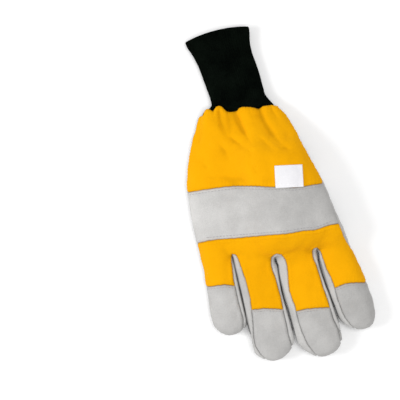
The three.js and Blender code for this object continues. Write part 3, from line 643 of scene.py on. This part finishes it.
# panel: groove depth, puff height, distance from edge to puff, pucker height, wall thickness, finish
PANEL_SEWING = {
    "palm_leather": (1.1, 0.25, 2.6, 0.08, 1.5, "grey_leather"),
    **dict.fromkeys(STRIPS, (0.9, 0.25, 2.0, 0.05, 1.2, "grey_leather")),
    "knuckle_band": (0.8, 0.35, 2.6, 0.1, 1.5, "grey_leather"),
    **dict.fromkeys(CAPS, (1.0, 0.4, 2.6, 0.12, 1.5, "grey_leather")),
    "back_upper": (0.95, 0.5, 2.8, 0.25, 1.3, "yellow_cloth"),
    "back_lower": (0.95, 0.5, 2.4, 0.2, 1.3, "yellow_cloth"),
}
# each leather panel, its tone at the little finger's side and the thumb's: partly the tone of its own part of
# a hide, and partly painted light, which makes it lighter towards the main lamp on the little finger's side
LEATHER_TONE_AND_PAINTED_LIGHT = {
    "knuckle_band": (1.11, 0.87), "little_cap": (0.96, 0.92), "ring_cap": (0.95, 0.95),
    "middle_cap": (0.92, 0.91), "index_cap": (0.88, 0.86), "strip_little_ring": (1.04, 1.04),
    "strip_ring_middle": (1.04, 1.04), "strip_middle_index": (1.02, 1.02),
}
# painted shade along the line where two fingers meet, standing in for the shadow deep in each slit
SLIT_SHADE = 0.75
SLIT_HALF = (0.2, 1.5)  # millimetres from the line between two fingers: full shade, and none
SLIT_START = 3.0  # how far the shade runs past the line's start, towards the cuff


def slit_painted_shade(points):
    """Painted shade along the line between two fingers, where the turned-down leather lies in the shadow of
    the slit.
    """
    lines = [[(path[0][0], path[0][1] + SLIT_START), *path] for path, _ in GAP_LINES]
    nearest = np.abs([path_distance(points, line)[0] for line in lines]).min(axis=0)
    return 1 - SLIT_SHADE * (1 - smooth(*SLIT_HALF, nearest))


sewn = {name: sew_down(panels[name], *PANEL_SEWING[name][:4]) for name in PANEL_SEWING}
# each point's tone: the panel's own tone, with painted light falling from the little finger's side to the
# thumb's and painted shade along the slits
for name, (points, _, marks) in sewn.items():
    marks["tone_and_painted_light"] = np.interp(points[:, 0], (-60, 60), LEATHER_TONE_AND_PAINTED_LIGHT.get(name, (1.0, 1.0)))
    if name in STRIPS:
        marks["tone_and_painted_light"] *= slit_painted_shade(points)
print("sewn panels:", len(sewn))

# %% [markdown]
# Finishes
#
# Each finish is made of small repeating structure and slow change: cloth has its weave, split leather its
# nap and pale and dark patches, and knitting its rows of loops. What several finishes share is a node
# group.


# %% Helpers that wire nodes
def add_node(tree, kind, inputs, **settings):
    """Adds a node with its settings. Each input is another node's output or a fixed value."""
    node = tree.nodes.new(kind)
    for name, value in settings.items():
        setattr(node, name, value)
    for label, value in inputs.items():
        if isinstance(value, bpy.types.NodeSocket):
            tree.links.new(value, node.inputs[label])
        else:
            node.inputs[label].default_value = value
    return node


def math_node(tree, operation, *values):
    return add_node(tree, "ShaderNodeMath", dict(enumerate(values)), operation=operation).outputs[0]


def noise_node(tree, vector, scale, detail=3.0, rough=0.5):
    inputs = {"Vector": vector, "Scale": scale, "Detail": detail, "Roughness": rough}
    return add_node(tree, "ShaderNodeTexNoise", inputs).outputs["Fac"]


def new_group(name, inputs, output, kind):
    """Starts a shader group of one output. Its inputs have their first values, or None for a vector."""
    tree = bpy.data.node_groups.new(name, "ShaderNodeTree")
    for label, value in inputs.items():
        sort = "Vector" if value is None else "Color" if isinstance(value, tuple) else "Float"
        socket = tree.interface.new_socket(label, in_out="INPUT", socket_type="NodeSocket" + sort)
        if value is not None:
            socket.default_value = value
    tree.interface.new_socket(output, in_out="OUTPUT", socket_type="NodeSocket" + kind)
    return tree, tree.nodes.new("NodeGroupInput").outputs, tree.nodes.new("NodeGroupOutput").inputs[output]


print("node helpers ready")

# %% [markdown]
# Mottling is shared by every finish: dye and handling leave slow, soft patches of lighter and darker tone.


# %% Mottling group
def build_mottling():
    tree, given, result = new_group("Mottling", {
        "Vector": None, "Patch Scale": 30.0, "Speck Scale": 900.0, "Speck Strength": 0.2,
        "Light": (1, 1, 1, 1), "Dark": (0, 0, 0, 1)}, "Color", "Color")
    patch = noise_node(tree, given["Vector"], given["Patch Scale"], 4.0, 0.55)
    speck = noise_node(tree, given["Vector"], given["Speck Scale"], 2.0, 0.6)
    scaled = math_node(tree, "MULTIPLY", math_node(tree, "SUBTRACT", speck, 0.5), given["Speck Strength"])
    total = math_node(tree, "ADD", patch, scaled)
    spread = add_node(tree, "ShaderNodeMapRange", {"Value": total, "From Min": 0.3, "From Max": 0.7})
    tones = {"Factor": spread.outputs["Result"], "A": given["Dark"], "B": given["Light"]}
    blend = add_node(tree, "ShaderNodeMix", tones, data_type="RGBA")
    tree.links.new(blend.outputs["Result"], result)
    return tree


mottling = build_mottling()
print("group:", mottling.name)

# %% [markdown]
# A weave is two sets of threads that pass over and under each other. Two rows of rounded waves at right
# angles, of which a checker picks the upper one, give that height at any scale.


# %% Weave group
def build_weave():
    tree, given, result = new_group("Weave", {"Vector": None, "Thread Scale": 1500.0}, "Height", "Float")
    split = add_node(tree, "ShaderNodeSeparateXYZ", {"Vector": given["Vector"]}).outputs
    across, up = (math_node(tree, "MULTIPLY", split[axis], given["Thread Scale"]) for axis in "XY")
    waves = (math_node(tree, "SINE", math_node(tree, "MULTIPLY", way, math.pi)) for way in (across, up))
    warp, weft = (math_node(tree, "ABSOLUTE", wave) for wave in waves)
    turn = math_node(tree, "ADD", math_node(tree, "FLOOR", across), math_node(tree, "FLOOR", up))
    over = math_node(tree, "MODULO", math_node(tree, "ABSOLUTE", turn), 2.0)
    pick = add_node(tree, "ShaderNodeMix", {"Factor": over, "A": warp, "B": weft})
    tree.links.new(pick.outputs["Result"], result)
    return tree


weave = build_weave()
print("group:", weave.name)

# %% [markdown]
# Shade is painted into the colour where a panel is turned in or creased: its tone drops beside every seam and
# down in every fold, standing in for the shadow in those grooves. Each panel's points carry their distance
# from the edge and their depth in a crease, in millimetres, and this group turns both into painted shade.
# Their third number is the tone of the hide or cloth that the panel was cut from, with painted light in it:
# lighter on the little finger's side and darker on the thumb's, and painted shade along the slits between the
# fingers.


# %% Seam shade group
def build_seam_shade():
    tree, given, result = new_group("Seam shade", {
        "Color": (1, 1, 1, 1), "Gap": 9.0, "Seam Reach": 1.1, "Seam Shade": 0.3, "Crease": 0.0,
        "Crease Reach": 1.3, "Crease Shade": 0.3, "Tone And Painted Light": 1.0}, "Color", "Color")

    def fade(distance, reach, start, end):
        inputs = {"Value": given[distance], "From Max": given[reach], "To Min": start, "To Max": end}
        return add_node(tree, "ShaderNodeMapRange", inputs, interpolation_type="SMOOTHSTEP").outputs["Result"]

    seam_tone = math_node(tree, "SUBTRACT", 1.0, given["Seam Shade"])
    crease_tone = math_node(tree, "SUBTRACT", 1.0, given["Crease Shade"])
    at_seam = fade("Gap", "Seam Reach", seam_tone, 1.0)
    in_crease = fade("Crease", "Crease Reach", 1.0, crease_tone)
    tone_and_painted_light = math_node(tree, "MULTIPLY", math_node(tree, "MULTIPLY", at_seam, in_crease), given["Tone And Painted Light"])
    shaded = add_node(tree, "ShaderNodeVectorMath", {0: given["Color"], "Scale": tone_and_painted_light}, operation="SCALE")
    tree.links.new(shaded.outputs["Vector"], result)
    return tree


seam_shade = build_seam_shade()
print("group:", seam_shade.name)


# %% A bare material to start from
def start_material(name, color, roughness, sheen=0.0, specular=0.3):
    """A material of one colour, with its tree, its shader's inputs and its coordinates on the object."""
    material = bpy.data.materials.new(name)
    material.use_nodes = True
    material.diffuse_color = (*color, 1.0)
    tree = material.node_tree
    shader = tree.nodes["Principled BSDF"].inputs
    for label, value in {"Base Color": (*color, 1.0), "Roughness": roughness, "Sheen Weight": sheen,
                         "Sheen Roughness": 0.5, "Specular IOR Level": specular}.items():
        shader[label].default_value = value
    return material, tree, shader, tree.nodes.new("ShaderNodeTexCoord").outputs


def mottled(tree, place, light, dark, patches, specks, strength):
    """The colour of the mottling group: the scale of its patches and its specks, and how strong these are."""
    inputs = {"Vector": place["Object"], "Light": (*light, 1), "Dark": (*dark, 1),
              "Patch Scale": patches, "Speck Scale": specks, "Speck Strength": strength}
    return add_node(tree, "ShaderNodeGroup", inputs, node_tree=mottling).outputs["Color"]


def seam_shaded(tree, color, seam, crease):
    """Paints shade on a colour beside the seams and in the creases, and scales it by each panel's own
    lightness and painted light.
    """
    inputs = {"Color": color, "Seam Shade": seam, "Crease Shade": crease}
    for mark, label in (("seam_gap", "Gap"), ("crease", "Crease"), ("tone_and_painted_light", "Tone And Painted Light")):
        inputs[label] = add_node(tree, "ShaderNodeAttribute", {}, attribute_name=mark).outputs["Fac"]
    return add_node(tree, "ShaderNodeGroup", inputs, node_tree=seam_shade).outputs["Color"]


def add_bump(tree, shader, *layers):
    """Bumps laid over each other. Each layer is its height, strength and distance."""
    under = {}
    for height, strength, distance in layers:
        inputs = {"Height": height, "Strength": strength, "Distance": distance, **under}
        under = {"Normal": add_node(tree, "ShaderNodeBump", inputs).outputs["Normal"]}
    tree.links.new(under["Normal"], shader["Normal"])


print("material helpers ready")


# %% Yellow cloth
def build_cloth(name, light, dark, thread_scale, roughness, shaded):
    material, tree, shader, place = start_material(name, light, roughness, 0.015, 0.03)
    color = mottled(tree, place, light, dark, patches=26.0, specks=1400.0, strength=0.35)
    if shaded:
        # painted shade beside the seams and down in the folds
        color = seam_shaded(tree, color, seam=0.16, crease=0.26)
    tree.links.new(color, shader["Base Color"])
    inputs = {"Vector": place["Object"], "Thread Scale": thread_scale}
    threads = add_node(tree, "ShaderNodeGroup", inputs, node_tree=weave).outputs["Height"]
    rough = math_node(tree, "ADD", math_node(tree, "MULTIPLY", threads, 0.1), roughness - 0.05)
    tree.links.new(rough, shader["Roughness"])
    wrinkle = noise_node(tree, place["Object"], 160.0)
    add_bump(tree, shader, (wrinkle, 0.25, 0.0012), (threads, 0.35, 0.0002))
    return material


yellow_cloth = build_cloth("yellow_cloth", (0.83, 0.382, 0.0015), (0.78, 0.352, 0.001),
                           thread_scale=1600.0, roughness=0.78, shaded=True)
white_tape = build_cloth("white_tape", (0.86, 0.85, 0.87), (0.74, 0.73, 0.76),
                         thread_scale=2600.0, roughness=0.6, shaded=False)
print("cloths:", yellow_cloth.name, white_tape.name)


# %% Grey split leather
def build_leather():
    material, tree, shader, place = start_material("grey_leather", (0.52, 0.51, 0.5), 0.86, 0.06, 0.1)
    light, dark = (0.52, 0.512, 0.5), (0.42, 0.413, 0.403)
    color = mottled(tree, place, light, dark, patches=38.0, specks=1100.0, strength=0.7)
    # painted shade beside the seams and in the creases, and the panel's tone with its painted light
    tree.links.new(seam_shaded(tree, color, seam=0.22, crease=0.1), shader["Base Color"])
    nap = noise_node(tree, place["Object"], 1300.0, 4.0, 0.65)
    pebbles = noise_node(tree, place["Object"], 260.0, 3.0, 0.55)
    rough = math_node(tree, "ADD", math_node(tree, "MULTIPLY", nap, 0.16), 0.78)
    tree.links.new(rough, shader["Roughness"])
    add_bump(tree, shader, (pebbles, 0.4, 0.0009), (nap, 0.5, 0.00035))
    return material


grey_leather = build_leather()
print("leather:", grey_leather.name)


# %% Thread and black knitting
def build_thread(name, light, dark):
    material, tree, shader, place = start_material(name, light, 0.6, 0.1, 0.4)
    color = mottled(tree, place, light, dark, patches=400.0, specks=3000.0, strength=0.5)
    tree.links.new(color, shader["Base Color"])
    return material


def build_knit():
    material, tree, shader, place = start_material("black_knit", (0.003, 0.0045, 0.0033), 0.9, 0.0, 0.015)
    light, dark = (0.003, 0.005, 0.0033), (0.0006, 0.0012, 0.0008)
    color = mottled(tree, place, light, dark, patches=60.0, specks=900.0, strength=0.8)
    tree.links.new(color, shader["Base Color"])
    loops = add_node(tree, "ShaderNodeTexWave", {"Vector": place["UV"], "Scale": 22.0, "Distortion": 1.2},
                     wave_type="BANDS", bands_direction="Y")
    add_bump(tree, shader, (loops.outputs["Fac"], 0.6, 0.0004))
    return material


grey_thread = build_thread("grey_thread", (0.42, 0.41, 0.42), (0.30, 0.29, 0.31))
black_knit = build_knit()
finishes = {"grey_leather": grey_leather, "yellow_cloth": yellow_cloth}
print("finishes:", sorted(finishes))

# %% [markdown]
# The panels as pieces
#
# Each cut surface becomes an object, and Solidify gives it the thickness of its cloth or leather, inwards.
# Its rim closes the panel, so it is a real sheet and not a painted skin.


# %% Objects from points and faces
def add_piece(name, points, faces, finish, nodes, uv=None, marks=None):
    """Makes a piece that takes the place of solid nodes. Marks are numbers kept for each point."""
    mesh = bpy.data.meshes.new(name)
    mesh.from_pydata([tuple(p) for p in in_frame(points)], [], [tuple(int(i) for i in f) for f in faces])
    mesh.polygons.foreach_set("use_smooth", [True] * len(mesh.polygons))
    if uv is not None:
        layer = mesh.uv_layers.new(name="UVMap")
        corners = np.empty(len(mesh.loops), int)
        mesh.loops.foreach_get("vertex_index", corners)
        layer.data.foreach_set("uv", uv[corners].astype(np.float32).ravel())
    for label, values in (marks or {}).items():
        mesh.attributes.new(label, "FLOAT", "POINT").data.foreach_set("value", values.astype(np.float32))
    mesh.materials.append(finish)
    mesh.update()
    piece = into_scene(name, mesh)
    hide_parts(*nodes)
    return piece


def thicken(piece, thickness):
    wall = piece.modifiers.new("wall", "SOLIDIFY")
    wall.thickness = thickness / 1000
    wall.offset = -1.0
    wall.use_even_offset = False


made = []
for name, (points, faces, marks) in sewn.items():
    thickness, finish_name = PANEL_SEWING[name][4:]
    piece = add_piece(name + "_skin", points, faces, finishes[finish_name], [name], marks=marks)
    thicken(piece, thickness)
    made.append(piece)
print("panel pieces:", len(made))

# %% [markdown]
# The thumb
#
# The thumb is a leather tube that leaves the palm near the index knuckle, turns under and lies flat on the
# table below the palm. Its two halves meet in a seam along each side.


# %% Thumb tube
THUMB_POINTS = 56  # round each ring
THUMB_WALL = 1.5
THUMB_BEND = 8.6  # radius of the turn under the palm


def thumb_rings(count=THUMB_POINTS):
    # each station: how far along, its height, where its upper side faces, its shares of width and thickness
    ahead = np.array([-math.cos(THUMB_TURN), -math.sin(THUMB_TURN), 0.0])
    across = np.array([math.sin(THUMB_TURN), -math.cos(THUMB_TURN), 0.0])
    fold = np.array([*THUMB_FOLD, 0.0])
    radius, half_thick = THUMB_BEND, THUMB_THICKNESS / 2
    low = half_thick - SINK / 2
    stations = [(radius + 6, low + 2 * radius, 0.0, -1.0, 0.84, 0.8)]
    for share in np.linspace(0, 1, 14):
        angle = math.pi * (0.5 + share)
        height = low + radius + radius * math.sin(math.pi / 2 - math.pi * share)
        tilt = math.pi * (1 + share)
        width = 0.84 + 0.16 * share
        stations.append((radius + radius * math.cos(angle), height, -math.sin(tilt), math.cos(tilt), width,
                         0.8 + 0.15 * share))
    round_end = THUMB_WIDTH * 0.6
    for share in np.linspace(0.1, 0.95, 12):
        along = radius + (THUMB_REACH - round_end - radius) * share
        stations.append((along, low, 0.0, 1.0, 1.0, 0.95 + 0.05 * share))
    for left in np.linspace(1.0, 0.0, 16) ** 1.6:
        closing = tip_closing(left, 2.2, 0.03)
        stations.append((THUMB_REACH - left * round_end, low, 0.0, 1.0, closing, closing**0.7))
    rings = []
    for along, height, up_r, up_z, width, thick in stations:
        u, v = oval(count, THUMB_WIDTH / 2 * width, half_thick * thick, half_thick * thick)
        angle = np.arange(count) * 2 * math.pi / count
        seam = np.exp(-((np.sin(angle) / 0.16) ** 2))
        u = u * (1 - 0.05 * seam)
        crease = 0.5 * math.sin(along * 0.55) * math.exp(-(((along - 16) / 12) ** 2))
        spots = fold + np.outer(np.full(count, along) + up_r * v, ahead) + np.outer(u, across)
        spots[:, 2] = height + up_z * (v * (1 + crease * 0.12))
        spots[:, 2] = np.maximum(spots[:, 2], 0.05)
        rings.append(spots)
    return rings


thumb_points, thumb_faces = loft(thumb_rings())
thumb_faces = [thumb_faces[0]] + thumb_faces[2:]  # the root stays open, inside the palm
thumb_turns = np.arange(len(thumb_points)) % THUMB_POINTS * 2 * math.pi / THUMB_POINTS
# the thumb's seam gap is painted as shade along its two side seams, and its tone and painted light stay even
thumb_gap = np.abs(np.sin(thumb_turns)) * THUMB_WIDTH / 2  # its two halves meet along both sides
thumb = add_piece("thumb_skin", thumb_points, thumb_faces, grey_leather, ["thumb_leather"],
                  marks={"seam_gap": thumb_gap, "tone_and_painted_light": np.ones(len(thumb_points))})
thicken(thumb, THUMB_WALL)
made.append(thumb)
print("thumb faces:", len(thumb_faces))

# %% [markdown]
# Laying things on the glove
#
# The tag and every stitch sit on the finished panels. A ray from above finds the surface under each point,
# so they follow every fold.


# %% Draping a line on the back
all_points, all_faces, start = [], [], 0
for points, faces, _ in sewn.values():
    all_points += [Vector(p) for p in points]
    all_faces += [tuple(int(i) + start for i in f) for f in faces]
    start = len(all_points)
back = BVHTree.FromPolygons(all_points, all_faces)


def on_back(x, y, lift=0.0):
    hit, normal, _, _ = back.ray_cast(Vector((x, y, 90.0)), Vector((0, 0, -1)))
    if hit is None:
        return None
    return hit + normal * lift


def draped(path, step, lift):
    """Points at even steps along a path, laid on the back."""
    path = np.array(path, float)
    lengths = np.concatenate([[0], np.cumsum(np.linalg.norm(np.diff(path, axis=0), axis=1))])
    at = np.arange(0, lengths[-1], step)
    spots = [on_back(*(float(np.interp(d, lengths, path[:, k])) for k in (0, 1)), lift) for d in at]
    return [spot for spot in spots if spot is not None]


print("surface under the tag, mm:", round(on_back(30, 19).z, 1))


# %% [markdown]
# The knit cuff
#
# The cuff is a tube of ribbed knitting. Ribs stand up along it all the way round, and it widens at the
# opening and again where it goes inside the gathered hem. It is one closed loft: ribbed outside, over the
# folded rim, and back down the smooth inside.

# %% Cuff outline
CUFF_RIBS = 54
CUFF_WALL = 2.4
RIB_DEPTH = 0.75
RIBS_START = (86, 97)  # along Y, where the ribs start to rise and are full
ROOT_TO_FREE = (88.5, 99.0)  # along Y, where the hand part's section turns into the free cuff's
ROOT_INSET, ROOT_LOWEST = 3.6, 2.2  # the root stays this far inside the hand part, and above the table
OPENING_BOW = 3.5  # how far the sides of the opening stay behind its middle
# place along Y, left edge, right edge, height
CUFF_ROWS = np.array([
    (97, -22.3, 27.0, 13.0), (101, -21.8, 27.2, 12.6), (106, -22.0, 27.0, 12.3), (115, -23.0, 27.0, 12.0),
    (125, -24.0, 26.2, 12.0), (135, -25.2, 25.0, 12.3), (143, -27.0, 25.0, 12.9), (150, -29.0, 26.0, 13.6),
    (157, -31.0, 27.2, 14.2), (163, -31.8, 27.8, 14.5),
])


def cuff_ring(y, inset, ribs, count):
    """One ring of the cuff, which turns into a section of the hand part below the hem."""
    left, right, tall = (np.interp(y, CUFF_ROWS[:, 0], CUFF_ROWS[:, k]) for k in (1, 2, 3))
    u, v = oval(count, (right - left) / 2 - inset, tall / 2 - inset, tall / 2 - inset, 2.6, 2.9)
    run = np.cumsum(np.hypot(np.diff(u, append=u[0]), np.diff(v, append=v[0])))
    wave = np.cos(run / run[-1] * CUFF_RIBS * 2 * math.pi)
    reach = np.hypot(u, v)
    shrink = 1 + ribs * (wave - 1) * 0.5 / reach
    x = (left + right) / 2 + u * shrink
    bow = -OPENING_BOW * smooth(143, 163, y) * (u / ((right - left) / 2)) ** 2
    free = np.stack([x, np.full(count, float(y)) + bow, tall / 2 + v * shrink], 1)
    root = body_ring(max(-0.09, (WRIST_Y - y) / BODY_LENGTH), ROOT_INSET + inset, count)
    root[:, 1] = y - WRIST_SLANT * root[:, 0]
    root[:, 2] = np.maximum(root[:, 2], ROOT_LOWEST + inset)
    share = 1 - smooth(*ROOT_TO_FREE, y)
    return free * (1 - share) + root * share


# %% Cuff mesh
def build_cuff(count=8 * CUFF_RIBS):
    outside = [cuff_ring(y, 0.0, RIB_DEPTH * float(smooth(*RIBS_START, y)), count)
               for y in np.concatenate([np.linspace(82, 100, 20), np.linspace(101.5, 161.5, 42)])]
    rim = [cuff_ring(y, inset, rib, count) for y, inset, rib in
           [(162.4, 0.25, 0.6), (162.8, 0.8, 0.45), (162.7, 1.5, 0.3), (162.0, 2.1, 0.15)]]
    inside = [cuff_ring(y, CUFF_WALL, 0.0, count) for y in np.linspace(160, 82, 26)]
    rings = outside + rim + inside
    run = np.cumsum([0] + [np.abs(b - a).max() for a, b in zip(rings[:-1], rings[1:])])
    uv = np.concatenate([np.stack([np.arange(count) / count, np.full(count, r / 40)], 1) for r in run])
    return np.concatenate(rings), ring_quads(len(rings), count, closed=True), uv


TUCK_HEIGHT = 11.0  # points above this are on the cuff's upper side
TUCK_REACH = 12.0  # how far past the hem the cuff is held down
HEM_MARGIN = 0.8  # the cloth is measured this far inside the hem
TUCK_SLOPE = 0.75  # how steeply the cuff may rise past the hem


def tuck_under(points, room):
    """Keeps the cuff's root below the cloth of the back, which dips where it is gathered."""
    tucked = points.copy()
    hem_y = read(HEM, points[:, 0])
    for k in np.nonzero((points[:, 2] > TUCK_HEIGHT) & (points[:, 1] < hem_y + TUCK_REACH))[0]:
        x, y = points[k, :2]
        cloth = on_back(x, min(y, hem_y[k] - HEM_MARGIN))
        if cloth is not None:
            rise = TUCK_SLOPE * max(0.0, y - hem_y[k])
            tucked[k, 2] = min(points[k, 2], cloth.z - room + rise)
    return tucked


cuff_points, cuff_faces, cuff_uv = build_cuff()
cuff_points = cuff_points + np.array([0, 0, 1.0]) * (
    0.5 * slow_noise(cuff_points, 22.0, 5.0) * smooth(1.0, 6.0, cuff_points[:, 2]))[:, None]
cuff_points = tuck_under(cuff_points, 2.6)
cuff = add_piece("cuff_knit", cuff_points, cuff_faces, black_knit, ["knit_cuff"], cuff_uv)
made.append(cuff)
print("cuff faces:", len(cuff_faces))

# %% [markdown]
# The tag
#
# The woven tag is caught in the seam above the band at its lower edge and lies loose on the cloth at its
# upper one.

# %% Woven tag
TAG_MIDDLE = (28.5, 19.2)
TAG_TURN = math.radians(-11.0)
TAG_WIDTH, TAG_HEIGHT = 25.0, 20.0
TAPE_LIFT, TAPE_THICKNESS = 0.35, 0.45
SELVEDGE = (11.2, 11.6)  # millimetres from the tag's middle where its thick edge starts and is full
SELVEDGE_RISE = 0.22
CORNER_CURL = 0.9
TAG_TIGHTENING = 20  # rounds in which the tape is pulled flat over the dips under it


def tag_layer(layer, columns, rows):
    """The tape's lower side, layer 0, or its upper one, layer 1."""
    points = []
    for r in range(rows + 1):
        for c in range(columns + 1):
            across, up = (c / columns - 0.5) * TAG_WIDTH, (r / rows - 0.5) * TAG_HEIGHT
            x = TAG_MIDDLE[0] + across * math.cos(TAG_TURN) - up * math.sin(TAG_TURN)
            y = TAG_MIDDLE[1] + across * math.sin(TAG_TURN) + up * math.cos(TAG_TURN)
            curl = CORNER_CURL * smooth(0.75, 1.0, abs(c / columns - 0.4) * 1.7) * smooth(0.4, 0.0, r / rows)
            edge = SELVEDGE_RISE * layer * smooth(*SELVEDGE, abs(across))
            points.append([x, y, on_back(x, y).z + TAPE_LIFT + curl + TAPE_THICKNESS * layer + edge])
    points = np.array(points)
    grid = points[:, 2].reshape(rows + 1, columns + 1)
    for _ in range(TAG_TIGHTENING):
        wider = np.pad(grid, 1, mode="edge")
        mean = (wider[:-2, 1:-1] + wider[2:, 1:-1] + wider[1:-1, :-2] + wider[1:-1, 2:]) / 4
        grid = np.maximum(grid, mean)
    points[:, 2] = grid.ravel()
    return points


def build_tag(columns=34, rows=26):
    points = np.concatenate([tag_layer(layer, columns, rows) for layer in (0, 1)])

    def cell(layer, r, c):
        return (layer * (rows + 1) + r) * (columns + 1) + c

    faces = []
    for r in range(rows):
        for c in range(columns):
            faces.append([cell(1, r, c), cell(1, r, c + 1), cell(1, r + 1, c + 1), cell(1, r + 1, c)])
            faces.append([cell(0, r + 1, c), cell(0, r + 1, c + 1), cell(0, r, c + 1), cell(0, r, c)])
    rim = [(0, c) for c in range(columns)] + [(r, columns) for r in range(rows)]
    rim += [(rows, c) for c in range(columns, 0, -1)] + [(r, 0) for r in range(rows, 0, -1)]
    for start, end in zip(rim, rim[1:] + rim[:1]):
        faces.append([cell(0, *start), cell(0, *end), cell(1, *end), cell(1, *start)])
    return points, faces


tag_points, tag_faces = build_tag()
tag = add_piece("tag_tape", tag_points, tag_faces, white_tape, ["size_tag"])
made.append(tag)
print("tag's area, mm2:", round(sum(face.area for face in tag.data.polygons) * 1e6 / 2, 1))

# %% [markdown]
# Stitches
#
# A stitch is a short thread that dips into the cloth at both ends. Geometry Nodes walk along each seam
# line, put a small rounded thread at even steps and turn it along the line. One tree makes every row, with
# its own sizes.


# %% The stitch tree
def build_stitch_tree():
    tree = bpy.data.node_groups.new("Stitch row", "GeometryNodeTree")
    add_socket = tree.interface.new_socket
    add_socket("Geometry", in_out="INPUT", socket_type="NodeSocketGeometry")
    for label, value in (("Pitch", 0.003), ("Stitch Length", 0.0024), ("Thread", 0.0005)):
        add_socket(label, in_out="INPUT", socket_type="NodeSocketFloat").default_value = value
    add_socket("Finish", in_out="INPUT", socket_type="NodeSocketMaterial")
    add_socket("Geometry", in_out="OUTPUT", socket_type="NodeSocketGeometry")

    def step(kind, output, inputs, **settings):
        return add_node(tree, kind, inputs, **settings).outputs[output]

    given = tree.nodes.new("NodeGroupInput").outputs
    line = step("GeometryNodeResampleCurve", "Curve", {"Curve": given["Geometry"], "Length": given["Pitch"]},
                mode="LENGTH")
    along = step("GeometryNodeInputTangent", "Tangent", {})
    turn = step("FunctionNodeAlignRotationToVector", "Rotation", {"Vector": along}, axis="X")
    thread = step("GeometryNodeMeshUVSphere", "Mesh", {"Segments": 8, "Rings": 6, "Radius": 1.0})
    length, width = (math_node(tree, "MULTIPLY", given[label], 0.5) for label in ("Stitch Length", "Thread"))
    size = step("ShaderNodeCombineXYZ", "Vector", {"X": length, "Y": width, "Z": width})
    place = step("GeometryNodeInstanceOnPoints", "Instances",
                 {"Points": line, "Instance": thread, "Rotation": turn, "Scale": size})
    real = step("GeometryNodeRealizeInstances", "Geometry", {"Geometry": place})
    finish = step("GeometryNodeSetMaterial", "Geometry", {"Geometry": real, "Material": given["Finish"]})
    tree.links.new(finish, tree.nodes.new("NodeGroupOutput").inputs["Geometry"])
    return tree


stitch_tree = build_stitch_tree()
print("tree:", stitch_tree.name)


# %% Rows of stitches
def stitch_rows(name, paths, pitch, length, thread):
    """One piece made of the stitches along all paths. Sizes are in millimetres."""
    curve = bpy.data.curves.new(name + "_lines", "CURVE")
    curve.dimensions = "3D"
    for path in paths:
        spline = curve.splines.new("POLY")
        spline.points.add(len(path) - 1)
        for spot, point in zip(in_frame([tuple(p) for p in path]), spline.points):
            point.co = (*spot, 1.0)
    lines = into_scene(name + "_lines", curve)
    row = lines.modifiers.new("stitches", "NODES")
    row.node_group = stitch_tree
    values = {"Pitch": pitch / 1000, "Stitch Length": length / 1000, "Thread": thread / 1000,
              "Finish": grey_thread}
    for item in stitch_tree.interface.items_tree:
        if item.in_out == "INPUT" and item.name in values:
            row[item.identifier] = values[item.name]
    ready = lines.evaluated_get(bpy.context.evaluated_depsgraph_get())
    mesh = bpy.data.meshes.new_from_object(ready)
    bpy.data.objects.remove(lines)
    mesh.name = name
    mesh.polygons.foreach_set("use_smooth", [True] * len(mesh.polygons))
    piece = into_scene(name, mesh)
    print(name, "faces:", len(mesh.polygons))
    return piece


def shifted(path, distance):
    """A path moved to its left by a distance, or to its right where that is negative."""
    path = np.array(path, float)
    run = np.gradient(path, axis=0)
    run = run / np.linalg.norm(run, axis=1)[:, None]
    return path + np.stack([-run[:, 1], run[:, 0]], 1) * distance


STITCH_LINE_STEP, STITCH_LIFT = 1.0, 0.1


def beside(seam, low, high, distance):
    """A line on the back at a distance from a seam, where X is between two places."""
    return draped(shifted([p for p in seam if low <= p[0] <= high], distance), STITCH_LINE_STEP, STITCH_LIFT)


band_rows = [beside(BAND_FOOT, -64, 62, 2.6), beside(BAND_TOP, -60, 57, -2.4)]
cap_rows = [beside(seam, low + 5, high - 3, -2.2)
            for seam, (low, high) in zip(CAP_SEAMS.values(), FINGER_SIDES)]
made.append(stitch_rows("band_stitches", band_rows, pitch=3.0, length=2.3, thread=0.6))
made.append(stitch_rows("cap_stitches", cap_rows, pitch=2.7, length=2.1, thread=0.55))

# %% [markdown]
# Floor and light
#
# A pale floor and soft light from a large lamp above and to the left, as in a product studio, with an even
# sky that fills the shadows.


# %% Studio
def add_light(name, place, size, power):
    data = bpy.data.lights.new(name, "AREA")
    data.size = size
    data.energy = power
    lamp = into_scene(name, data)
    lamp.location = place
    lamp.rotation_euler = (-Vector(place)).to_track_quat("-Z", "Y").to_euler()


floor_mesh = bpy.data.meshes.new("floor")
floor_mesh.from_pydata([(-3, -3, 0), (3, -3, 0), (3, 3, 0), (-3, 3, 0)], [], [(0, 1, 2, 3)])
floor = into_scene("floor", floor_mesh)
floor_mesh.materials.append(start_material("floor_paint", (0.95, 0.95, 0.95), 0.8)[0])
add_light("main_lamp", (-1.2, 0.2, 0.95), size=0.5, power=10.0)
add_light("top_lamp", (0.25, -0.05, 1.9), size=1.0, power=19.0)
world = bpy.data.worlds.new("sky")
world.use_nodes = True
world.node_tree.nodes["Background"].inputs["Color"].default_value = (1, 1, 1, 1)
world.node_tree.nodes["Background"].inputs["Strength"].default_value = 0.5
bpy.context.scene.world = world

# %% Everything rides on the one body
for piece in made:
    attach(piece, "root")
